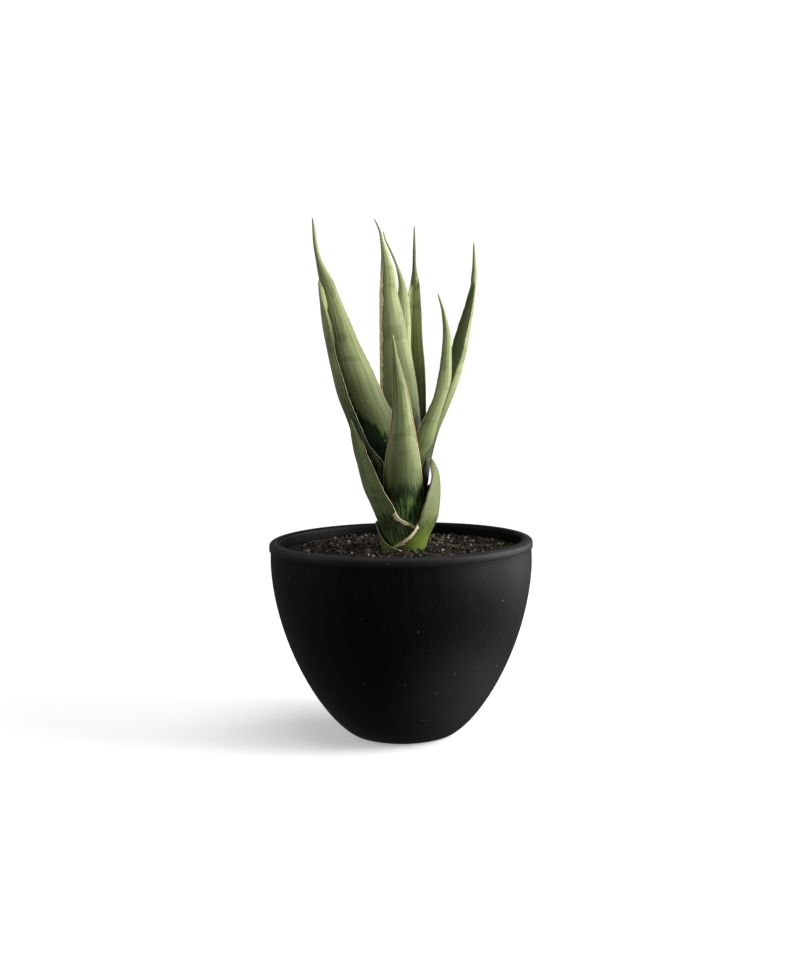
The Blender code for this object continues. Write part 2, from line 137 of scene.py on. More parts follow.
class Bench:
    """One material's node tree, with the nodes that the finishes need."""

    def __init__(self, name: str, **constants: float) -> None:
        """Starts a material with a Principled shader.

        Args:
            name: the material's name.
            constants: values for the shader's own sockets, with _ for a space.
        """
        self.material = bpy.data.materials.new(name)
        self.material.use_nodes = True
        self.tree = self.material.node_tree
        self.shader = next(made for made in self.tree.nodes if made.type == "BSDF_PRINCIPLED")
        for key, value in constants.items():
            self.shader.inputs[key.replace("_", " ")].default_value = value

    def node(self, kind: str, settings: dict, inputs: dict) -> bpy.types.Node:
        """Adds a node, sets it up and then feeds it.

        Args:
            kind: the node's type.
            settings: its properties; "stops" holds a ramp's (place, colour) pairs.
            inputs: values or Wires by socket name or number.

        Returns:
            The new node.
        """
        made = self.tree.nodes.new(kind)
        for key, value in settings.items():
            if key == "stops":
                self._fill_ramp(made.color_ramp, value)
            else:
                setattr(made, key, value)
        for key, value in inputs.items():
            if isinstance(value, Wire):
                self.tree.links.new(value.socket, made.inputs[key])
            else:
                made.inputs[key].default_value = value
        return made

    @staticmethod
    def _fill_ramp(ramp: bpy.types.ColorRamp, stops: list[tuple[float, Colour]]) -> None:
        """Gives a colour ramp its stops."""
        while len(ramp.elements) < len(stops):
            ramp.elements.new(1.0)
        for element, (place, colour) in zip(ramp.elements, stops):
            element.position = place
            element.color = (*colour, 1.0)

    def attribute(self, name: str) -> Wire:
        """A number stored on the mesh."""
        made = self.node("ShaderNodeAttribute", {"attribute_name": name}, {})
        return Wire(self, made.outputs["Fac"])

    def place(self) -> tuple[Wire, Wire, Wire]:
        """The point's x, y and z in the frame, in millimetres."""
        where = self.node("ShaderNodeTexCoord", {}, {})
        scaled = self.node("ShaderNodeVectorMath", {"operation": "SCALE"},
                           {0: Wire(self, where.outputs["Object"]), "Scale": 1.0 / MM})
        split = self.node("ShaderNodeSeparateXYZ", {}, {0: Wire(self, scaled.outputs[0])})
        return tuple(Wire(self, split.outputs[axis]) for axis in range(3))

    def upward(self) -> Wire:
        """How far the surface faces up, from -1 to 1."""
        facing = self.node("ShaderNodeNewGeometry", {}, {})
        split = self.node("ShaderNodeSeparateXYZ", {}, {0: Wire(self, facing.outputs["Normal"])})
        return Wire(self, split.outputs[2])

    def point(self, x: Wire | float, y: Wire | float, z: Wire | float) -> Wire:
        """A vector from three values."""
        made = self.node("ShaderNodeCombineXYZ", {}, {0: x, 1: y, 2: z})
        return Wire(self, made.outputs[0])

    def noise(self, where: Wire, detail: float = 2.0, rough: float = 0.5, warp: float = 0.0) -> Wire:
        """Soft noise whose grains are about one unit of the vector wide.

        Args:
            where: the vector that it is read at.
            detail: octaves of finer noise.
            rough: how strong the finer noise is.
            warp: how much the noise is stirred.

        Returns:
            Values round 0.5.
        """
        made = self.node("ShaderNodeTexNoise", {}, {"Vector": where, "Scale": 1.0, "Detail": detail,
                                                    "Roughness": rough, "Distortion": warp})
        return Wire(self, made.outputs[0])

    def specks(self, where: Wire, size: float) -> Wire:
        """1 in round specks, one in each cell of the vector, and 0 between them."""
        made = self.node("ShaderNodeTexVoronoi", {}, {"Vector": where, "Scale": 1.0})
        return 1.0 - Wire(self, made.outputs["Distance"]).smooth(size * 0.5, size)

    def mix(self, mask: Wire | float, under: Wire | Colour, over: Wire | Colour) -> Wire:
        """A colour that goes from under to over as mask goes from 0 to 1."""
        pair = [value if isinstance(value, Wire) else (*value, 1.0) for value in (under, over)]
        made = self.node("ShaderNodeMix", {"data_type": "RGBA"}, {0: mask, 6: pair[0], 7: pair[1]})
        return Wire(self, made.outputs[2])

    def ramp(self, value: Wire, stops: list[tuple[float, Colour]]) -> Wire:
        """A colour picked from a row of stops."""
        made = self.node("ShaderNodeValToRGB", {"stops": stops}, {0: value})
        return Wire(self, made.outputs[0])

    def finish(self, colour: Wire, roughness: Wire, relief: Wire, depth: float) -> bpy.types.Material:
        """Feeds the shader.

        Args:
            colour: base colour.
            roughness: roughness.
            relief: height of the fine relief, 0 to 1.
            depth: what 1 of relief stands for, in millimetres.

        Returns:
            The finished material.
        """
        bump = self.node("ShaderNodeBump", {}, {"Strength": 1.0, "Distance": depth * MM, "Height": relief})
        for name, value in (("Base Color", colour), ("Roughness", roughness),
                            ("Normal", Wire(self, bump.outputs[0]))):
            self.tree.links.new(value.socket, self.shader.inputs[name])
        return self.material


# ---------------------------------------------------------------- workshop helpers
def deselect() -> None:
    """Leaves nothing selected and Blender in object mode."""
    if bpy.context.object and bpy.context.object.mode != "OBJECT":
        bpy.ops.object.mode_set(mode="OBJECT")
    bpy.ops.object.select_all(action="DESELECT")


def eased(value: float) -> float:
    """0 to 1 with level ends."""
    value = min(max(value, 0.0), 1.0)
    return value * value * (3.0 - 2.0 * value)


def face_outwards() -> None:
    """Turns the faces of the piece being edited outwards and leaves edit mode."""
    bpy.ops.mesh.select_all(action="SELECT")
    bpy.ops.mesh.normals_make_consistent(inside=False)
    bpy.ops.object.mode_set(mode="OBJECT")


def turn_profile(name: str, profile: Profile, steps: int, sharp: float) -> bpy.types.Object:
    """Turns a closed skin by raising a ring through a profile, as clay on a wheel.

    Args:
        name: the piece's name.
        profile: (radius, height) pairs in millimetres, from near the axis round to near the axis again.
        steps: corners round the ring.
        sharp: edges steeper than this many degrees stay crisp.

    Returns:
        The turned piece, with its place in its mesh.
    """
    deselect()
    radius, height = profile[0]
    bpy.ops.mesh.primitive_circle_add(vertices=steps, radius=radius * MM, fill_type="NGON",
                                      location=(0.0, 0.0, height * MM))
    piece = bpy.context.object
    piece.name = name
    bpy.ops.object.transform_apply(location=True, rotation=True, scale=True)
    bpy.ops.object.mode_set(mode="EDIT")
    bpy.ops.mesh.select_mode(type="EDGE")
    bpy.ops.mesh.select_all(action="SELECT")
    for wider, higher in profile[1:]:
        bpy.ops.mesh.extrude_edges_move(TRANSFORM_OT_translate={"value": (0.0, 0.0, (higher - height) * MM)})
        grow = wider / radius
        bpy.ops.transform.resize(value=(grow, grow, 1.0))
        radius, height = wider, higher
    bpy.ops.mesh.edge_face_add()
    face_outwards()
    bpy.ops.object.shade_smooth_by_angle(angle=math.radians(sharp))
    return piece


def adopt(piece: bpy.types.Object, finish: bpy.types.Material, slot: str, *nodes: str) -> None:
    """Gives a finished piece its material and its place in the part.

    Args:
        piece: the finished piece.
        finish: its material.
        slot: a material slot name; not used.
        nodes: the CAD nodes that it stands for.
    """
    piece.data.materials.clear()
    piece.data.materials.append(finish)
    if nodes:
        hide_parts(*nodes)
    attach(piece, "root")
    LOG.info("%s: %d faces, finish %s", piece.name, len(piece.data.polygons), finish.name)


def store(mesh: bpy.types.Mesh, name: str, values: np.ndarray) -> None:
    """Keeps one number per vertex on a mesh."""
    made = mesh.attributes.new(name, "FLOAT", "POINT")
    made.data.foreach_set("value", values.astype(np.float32))


# ---------------------------------------------------------------- leaves
class Tone(Enum):
    """Leaf colourings: (bloomy, plain, inner side) skin colours."""

    SILVER = ((0.335, 0.385, 0.175), (0.190, 0.235, 0.088), (0.150, 0.190, 0.085))
    PALE = ((0.420, 0.475, 0.225), (0.260, 0.310, 0.125), (0.110, 0.145, 0.060))
    SAGE = ((0.375, 0.425, 0.200), (0.205, 0.250, 0.100), (0.080, 0.108, 0.040))
    # The inner side's colour is painted light: much brighter than the outer skin, it stands in for light
    # shining through the leaf
    OLIVE_LIT_INSIDE = ((0.150, 0.185, 0.080), (0.065, 0.088, 0.030), (0.600, 0.680, 0.250))
    SHEATH = ((0.158, 0.188, 0.066), (0.102, 0.132, 0.037), (0.060, 0.090, 0.025))
    MOSS = ((0.250, 0.298, 0.128), (0.145, 0.192, 0.070), (0.060, 0.085, 0.028))


@dataclass(frozen=True)
class Margin:
    """The horny edge on one side of a leaf, with the rusty line beside it. Sizes in millimetres.

    The edge is wider and papery round the height papery_at, where papery_width isn't 0.
    """

    cream: float = 0.26
    rust: float = 0.34
    fade_from: float = 95.0
    fade_to: float = 115.0
    papery_at: float = 0.0
    papery_reach: float = 1.0
    papery_width: float = 0.0
    colour: Colour = (0.72, 0.62, 0.38)
    rust_colour: Colour = (0.12, 0.050, 0.018)

    def bands(self, bench: Bench, seed: float) -> tuple[Wire, Wire]:
        """Works out where the edge shows.

        Args:
            bench: the leaf's material in the making.
            seed: moves the wear along the edge.

        Returns:
            Masks of the rusty line and of the cream edge.
        """
        height, rim = bench.attribute("height"), bench.attribute("rim")
        worn = bench.noise(bench.point(height * 0.30, seed, 0.0), 3.0, 0.6)
        width = self.cream * (0.45 + worn * 1.1)
        if self.papery_width:
            torn = bench.noise(bench.point(height * 0.8, seed + 3.0, rim * 0.25), 3.0, 0.7)
            off = (height - self.papery_at).size()
            spread = 1.0 - off.smooth(self.papery_reach * 0.55, self.papery_reach)
            width = width + spread * torn * self.papery_width * 2.0
        shown = 1.0 - height.smooth(self.fade_from, self.fade_to)
        past = rim - width
        rusty = (1.0 - past.smooth(self.rust * 0.7, self.rust * 1.3)) * shown
        return rusty, (1.0 - past.smooth(-0.07, 0.07)) * shown


BARE_EDGE = Margin(0.0, 0.12, 20.0, 30.0)


@dataclass(frozen=True)
class Mottle:
    """Dark green cross band broken up into fine streaks, in millimetres of height.

    cover, under and above say how much of the skin the streaks take in the band, under it and above it.
    The fresh colour lies under the band. The darker colour low on the leaf, fading out over reach above the
    band, is partly the leaf's own darker green and partly painted shade from the leaves in front.
    """

    low: float = 0.0
    high: float = 30.0
    cover: float = 0.75
    under: float = 0.4
    above: float = 0.04
    slant: float = 0.0
    strength: float = 0.85
    streak: float = 1.5
    colour: Colour = (0.006, 0.022, 0.004)
    fresh: Colour = (0.150, 0.240, 0.065)
    freshness: float = 0.6
    # Darker colour low on the leaf: partly its own green, partly painted shade from the leaves in front
    deep_and_shade: Colour = (0.070, 0.092, 0.028)
    deep_and_shade_strength: float = 0.85
    reach: float = 30.0


@dataclass(frozen=True)
class LeafFinish:
    """Waxy leaf skin: bloom, veins, mottling, margins and a weathered tip."""

    tone: Tone = Tone.SAGE
    left: Margin = BARE_EDGE
    right: Margin = BARE_EDGE
    mottle: Mottle = Mottle()
    foot_colour: Colour = (0.105, 0.230, 0.022)
    foot_height: float = 0.0
    tip_colour: Colour = (0.22, 0.22, 0.14)
    tip_length: float = 5.0
    roughness: float = 0.44

    def material(self, name: str, seed: float, top: float) -> bpy.types.Material:
        """Builds the leaf's material.

        Args:
            name: the material's name.
            seed: moves the patterns, so that no two leaves are alike.
            top: height of the leaf's tip in millimetres.

        Returns:
            The finished material.
        """
        bench = Bench(name, Specular_IOR_Level=0.20, Coat_Weight=0.02, Coat_Roughness=0.34)
        across, height, inner = (bench.attribute(key) for key in ("across", "height", "inner"))
        bloomy, plain, inside = self.tone.value

        clouds = bench.noise(bench.point(across * 0.15, height * 0.045, seed), 3.0, 0.55)
        streaks = bench.noise(bench.point(across * 0.80, height * 0.022, seed + 4.0), 4.0, 0.6)
        veins = bench.noise(bench.point(across * 3.4, height * 0.035, seed + 9.0), 2.0, 0.5)
        pores = bench.noise(bench.point(across * 4.2, height * 2.0, seed + 13.0), 2.0, 0.6)
        rungs = bench.noise(bench.point(across * 0.05, height * 0.16, seed + 17.0), 2.0, 0.5)

        bloom = (clouds * 0.85 + streaks * 0.22 + veins * 0.14).smooth(0.36, 0.86)
        skin = bench.mix(bloom, plain, bloomy)
        skin = bench.mix(inner * 0.9, skin, bench.mix(streaks.smooth(0.3, 0.7) * 0.5, inside, plain))
        lines = veins.smooth(0.58, 0.70) * (1.25 - height.smooth(15.0, 80.0)) * 0.26
        skin = bench.mix(lines, skin, self.mottle.colour)
        skin = bench.mix(rungs.smooth(0.55, 0.64) * 0.24, skin, self.mottle.colour)
        skin = bench.mix((1.0 - pores.smooth(0.30, 0.42)) * 0.10, skin, bloomy)

        skin, blotch = self._mottled(bench, skin, across, height, seed)
        if self.foot_height:
            low = 1.0 - (height + (blotch - 0.5) * 14.0).smooth(self.foot_height * 0.3, self.foot_height)
            skin = bench.mix(low * 0.75, skin, self.foot_colour)

        scars = bench.specks(bench.point(across * 0.17, height * 0.11, seed + 41.0), 0.08)
        skin = bench.mix(scars * 0.4, skin, bloomy)
        skin = bench.mix(height.smooth(top - self.tip_length, top) * 0.8, skin, self.tip_colour)

        rust, cream = self.left.bands(bench, seed)
        if self.right is not self.left:
            side = across.smooth(-0.3, 0.3)
            far_rust, far_cream = self.right.bands(bench, seed + 5.0)
            rust, cream = rust + (far_rust - rust) * side, cream + (far_cream - cream) * side
        edge = self.left if self.left is not BARE_EDGE else self.right
        skin = bench.mix(rust * 0.9, skin, edge.rust_colour)
        fibre = bench.noise(bench.point(bench.attribute("rim") * 1.5, height * 0.5, seed + 51.0), 3.0, 0.6)
        dull = (edge.colour[0] * 0.72, edge.colour[1] * 0.64, edge.colour[2] * 0.52)
        skin = bench.mix(cream, skin, bench.mix(fibre.smooth(0.3, 0.65), dull, edge.colour))

        gloss = self.roughness + (streaks - 0.5) * 0.20 + bloom * 0.08 + cream * 0.15
        relief = veins * 0.40 + streaks * 0.12 + pores * 0.14 + cream * 0.25
        return bench.finish(skin, gloss, relief, 0.14)

    def _mottled(self, bench: Bench, skin: Wire, across: Wire, height: Wire,
                 seed: float) -> tuple[Wire, Wire]:
        """Lays the dark streaks over the skin.

        Args:
            bench: the leaf's material in the making.
            skin: the skin's colour so far.
            across: millimetres across the leaf.
            height: millimetres above the soil.
            seed: moves the streaks.

        Returns:
            The mottled skin, and the noise that shaped it.
        """
        spots = self.mottle
        ragged = (bench.noise(bench.point(across * 0.7, height * 0.015, seed + 21.0), 4.0, 0.7) - 0.5) * 14.0
        level = height + across * spots.slant + ragged
        below = 1.0 - level.smooth(spots.low - 3.0, spots.low + 3.0)
        band = (1.0 - below) * (1.0 - level.smooth(spots.high - 4.0, spots.high + 4.0))
        trail = (1.0 - level.smooth(spots.high, spots.high + 14.0)) * 0.20
        cover = spots.above + trail + band * (spots.cover - spots.above) + below * (spots.under - spots.above)
        blotch = bench.noise(bench.point(across * spots.streak, height * 0.15, seed + 31.0), 4.0, 0.75, 0.3)
        dark = (blotch + (cover - 0.5) * 0.40).smooth(0.485, 0.535)
        # Partly own colour, partly painted shade: the lower leaf darkens below a ragged level and fades over
        # reach above the band
        nearing = (height + ragged).smooth(spots.high - 4.0, spots.high + spots.reach)
        skin = bench.mix((1.0 - nearing) * spots.deep_and_shade_strength, skin, spots.deep_and_shade)
        skin = bench.mix(below * spots.freshness, skin, spots.fresh)
        return bench.mix(dark * spots.strength, skin, spots.colour), blotch


@dataclass
class Leaf:
    """One leaf as a stack of level arcs. Sizes in millimetres, angles in degrees.

    A station is (height, centre x, centre y, radius, bearing of one margin, bearing of the other), from the
    plant's own centre; 0 is +X, 90 is to the back and -90 to the front. The needle starts at the height
    that needle gives, and flesh scales the thickness.
    """

    name: str
    slot: str
    needle: float
    flesh: float
    finish: LeafFinish
    stations: list[tuple[float, ...]]
    seed: int = 0
    row_step: float = 1.0
    columns: int = 34
    rib_depth: float = 0.10
    waver: float = 0.16
    bead: float = 0.75
    tip_round: float = 1.2
    fewest_rows: int = 48
    rib_waves: tuple[float, ...] = (5.0, 8.0, 13.0)

    def read(self, heights: np.ndarray) -> np.ndarray:
        """Smooth curves through the stations.

        Args:
            heights: the heights to read at.

        Returns:
            Centre x, centre y, radius and both bearings, one row for each height.
        """
        table = np.array(self.stations)
        marks, values = table[:, 0], table[:, 1:]
        last = len(marks) - 1
        beside = [(min(station + 1, last), max(station - 1, 0)) for station in range(last + 1)]
        slopes = np.array([(values[above] - values[below]) / (marks[above] - marks[below])
                           for above, below in beside])
        span = np.clip(np.searchsorted(marks, heights, side="right") - 1, 0, last - 1)
        length = (marks[span + 1] - marks[span])[:, None]
        part = ((heights - marks[span])[:, None]) / length
        leaving, arriving = part ** 3 - 2 * part ** 2 + part, part ** 3 - part ** 2
        return ((2 * part ** 3 - 3 * part ** 2 + 1) * values[span] + leaving * slopes[span] * length
                + (3 * part ** 2 - 2 * part ** 3) * values[span + 1] + arriving * slopes[span + 1] * length)

    @staticmethod
    def lean_of_margin(heights: np.ndarray, readings: np.ndarray) -> np.ndarray:
        """How much a level distance from the margin shrinks when it is taken square to the margin.

        Args:
            heights: the rows' heights.
            readings: centre, radius and bearings in each row.

        Returns:
            One factor for each row, 1 where the margin is upright.
        """
        factors = []
        for bearing in np.radians(readings[:, 3:5]).T:
            away = np.stack([np.cos(bearing), np.sin(bearing)], 1)
            track = np.gradient(readings[:, :2] + away * readings[:, 2:3], heights, axis=0)
            slide = track[:, 1] * away[:, 0] - track[:, 0] * away[:, 1]
            rest = track[:, 0] * away[:, 0] + track[:, 1] * away[:, 1]
            factors.append(np.sqrt((1.0 + rest ** 2) / (1.0 + rest ** 2 + slide ** 2)))
        return np.minimum(*factors)

    def ripple(self, place: np.ndarray, cycles: tuple[float, ...], phase: float) -> np.ndarray:
        """A smooth irregular wave between -1 and 1."""
        shift = self.seed * 1.7 + phase
        waves = [np.sin(place * turns + shift * (index + 1) * 1.3) for index, turns in enumerate(cycles)]
        return sum(waves) / len(cycles)

    def ring(self, height: float, reading: np.ndarray) -> tuple[np.ndarray, np.ndarray]:
        """The closed outline of the leaf at one height.

        Args:
            height: above the soil.
            reading: centre, radius and bearings there.

        Returns:
            The outline's points, and for each point its share across, its distance from the margin and
            whether it is on the inner side.
        """
        x, y, radius, start, end = reading
        middle, wrap = math.radians((start + end) / 2), math.radians((end - start) / 2)
        closing = eased((height - self.needle + NEEDLE_BLEND) / NEEDLE_BLEND)
        place = np.array([height])
        frill = self.waver * (1.0 - closing) / max(radius, 1.0)
        wrap_left = wrap + frill * float(self.ripple(place, (0.55, 0.9, 2.1), 0.3)[0])
        wrap_right = wrap + frill * float(self.ripple(place, (0.6, 1.1, 1.9), 2.1)[0])
        keel = min(LEAF_THICKNESS * self.flesh, 0.75 * radius)
        edge = min(MARGIN_THICKNESS, 0.8 * keel)
        even = np.linspace(-1.0, 1.0, self.columns + 1)
        across = 0.45 * even + 0.55 * np.sin(even * math.pi / 2)
        turn = np.where(across < 0, across * wrap_left, across * wrap_right)
        away = np.stack([np.cos(middle + turn), np.sin(middle + turn)], 1)
        facing = np.array([math.cos(middle), math.sin(middle)])
        ribs = self.ripple(across * 3.2, self.rib_waves, height * 0.004) * (1.0 - across ** 4)
        sink = min(self.rib_depth, 0.05 * radius) * (1.0 + ribs)
        skin = np.array([x, y]) + away * (radius - sink)[:, None]
        thickness = edge + (keel - edge) * (1.0 - across ** 2)
        gutter = skin - away * thickness[:, None]
        depth = 2.0 * radius * (np.cos(turn) - math.cos(wrap))
        back = skin - facing * (depth + 0.3 * radius)[:, None]
        inner = gutter * (1.0 - closing) + back * closing
        left = self._bead(skin[0], inner[0], -1.0, away[0])
        right = self._bead(skin[-1], inner[-1], 1.0, away[-1])
        outline = np.concatenate([left[2:3], left[1::-1], skin, right, inner[::-1], left[:2:-1], left[2:3]])
        rim = radius * np.minimum(wrap_left + turn, wrap_right - turn).clip(0.0)
        full, half = len(BEAD_ANGLES), len(BEAD_ANGLES) // 2 + 1
        share = np.concatenate([[-1.0] * half, across, [1.0] * full, across[::-1], [-1.0] * half])
        far = np.concatenate([[BEAD_RIM] * half, rim, [BEAD_RIM] * full, rim[::-1], [BEAD_RIM] * half])
        within = np.concatenate([[0.0] * half, [0.0] * len(skin), BEAD_INNER, [1.0] * len(skin),
                                 BEAD_INNER[:1:-1]]) * (1.0 - closing)
        return outline, np.stack([share, far, within], 1)

    def _bead(self, skin: np.ndarray, inner: np.ndarray, hand: float, away: np.ndarray) -> np.ndarray:
        """The points that round a margin off, from its outer to its inner side."""
        middle, half = (skin + inner) / 2, (skin - inner) / 2
        tangent = np.array([-away[1], away[0]]) * hand * float(np.linalg.norm(half)) * self.bead
        angles = np.radians(BEAD_ANGLES)
        return middle + np.outer(np.cos(angles), half) + np.outer(np.sin(angles), tangent)

    def build(self, centre: Vector, level: float) -> bpy.types.Object:
        """Rolls a flat blank up into the leaf.

        Args:
            centre: the plant's centre in millimetres.
            level: the height that the stations are measured from, in millimetres.

        Returns:
            The finished leaf.
        """
        low, high = self.stations[0][0], self.stations[-1][0]
        rows = max(self.fewest_rows, int((high - low) / self.row_step))
        heights = np.linspace(low, high, rows + 1)
        readings = self.read(heights)
        rings, facts = zip(*(self.ring(height, reading) for height, reading in zip(heights, readings)))
        girth = len(rings[0]) - 1
        widest = float(max(np.radians(reading[4] - reading[3]) / 2 * reading[2] for reading in readings))

        deselect()
        bpy.ops.mesh.primitive_grid_add(x_subdivisions=girth, y_subdivisions=rows, size=2.0)
        leaf = bpy.context.object
        leaf.name = self.name
        mesh = leaf.data
        flat = np.zeros(len(mesh.vertices) * 3)
        mesh.vertices.foreach_get("co", flat)
        flat = flat.reshape(-1, 3)
        column = np.rint((flat[:, 0] + 1.0) / 2.0 * girth).astype(int)
        row = np.rint((flat[:, 1] + 1.0) / 2.0 * rows).astype(int)

        outline, fact = np.array(rings), np.array(facts)
        fact[:, :, 1] *= self.lean_of_margin(heights, readings)[:, None]
        core = outline[:, :-1].mean(1, keepdims=True)
        closeness = np.clip(1.0 - (high - heights) / self.tip_round, 0.0, 1.0)
        rounding = np.sqrt(np.clip(1.0 - closeness ** 2, 0.0, 1.0))
        outline = core + (outline - core) * rounding[:, None, None]
        flat[:, :2] = (outline[row, column] + np.array(centre[:2])) * MM
        flat[:, 2] = (level + heights[row]) * MM
        mesh.vertices.foreach_set("co", flat.ravel())
        store(mesh, "across", fact[row, column, 0] * widest)
        store(mesh, "rim", fact[row, column, 1])
        store(mesh, "inner", fact[row, column, 2])
        store(mesh, "height", heights[row])

        bpy.ops.object.mode_set(mode="EDIT")
        bpy.ops.mesh.select_all(action="SELECT")
        bpy.ops.mesh.remove_doubles(threshold=1e-6)
        bpy.ops.mesh.fill_holes(sides=0)
        face_outwards()
        bpy.ops.object.shade_smooth()
        return leaf


@dataclass
class Rosette:
    """The leaves and the crown that they rise from."""

    leaves: list[Leaf]

    def build(self) -> tuple[Vector, float]:
        """Builds and dresses every leaf.

        Returns:
            The plant's centre and the level that its heights are measured from, in millimetres.
        """
        low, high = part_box("rhizome")
        centre = (low + high) / 2 / MM
        level = high.z / MM - CROWN_RISE
        for index, leaf in enumerate(self.leaves):
            leaf.seed = index + 1
            made = leaf.build(centre, level)
            top = leaf.stations[-1][0]
            skin = leaf.finish.material(leaf.name + "_skin", leaf.seed * PATTERN_SHIFT, top)
            adopt(made, skin, leaf.slot, leaf.name)
            made.name = leaf.name + "_look"
        self.dress_crown()
        return centre, level

    def dress_crown(self) -> None:
        """Gives the carried-over rhizome its woody finish."""
        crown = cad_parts["rhizome"]
        crown.data.materials.clear()
        crown.data.materials.append(self.bark())

    @staticmethod
    def bark() -> bpy.types.Material:
        """Orange-brown rhizome bark with rings.

        Returns:
            The finished material.
        """
        bench = Bench("rhizome_bark")
        x, y, z = bench.place()
        rings = bench.noise(bench.point(x * 0.08, y * 0.08, z * 1.1), 3.0, 0.6)
        flecks = bench.noise(bench.point(x * 1.4, y * 1.4, z * 1.4), 4.0, 0.6)
        colour = bench.ramp(rings * 0.6 + flecks * 0.4, [
            (0.3, (0.12, 0.05, 0.018)), (0.5, (0.42, 0.20, 0.06)), (0.7, (0.62, 0.40, 0.18))])
        return bench.finish(colour, 0.62 + flecks * 0.2, rings * 0.7 + flecks * 0.3, 0.5)


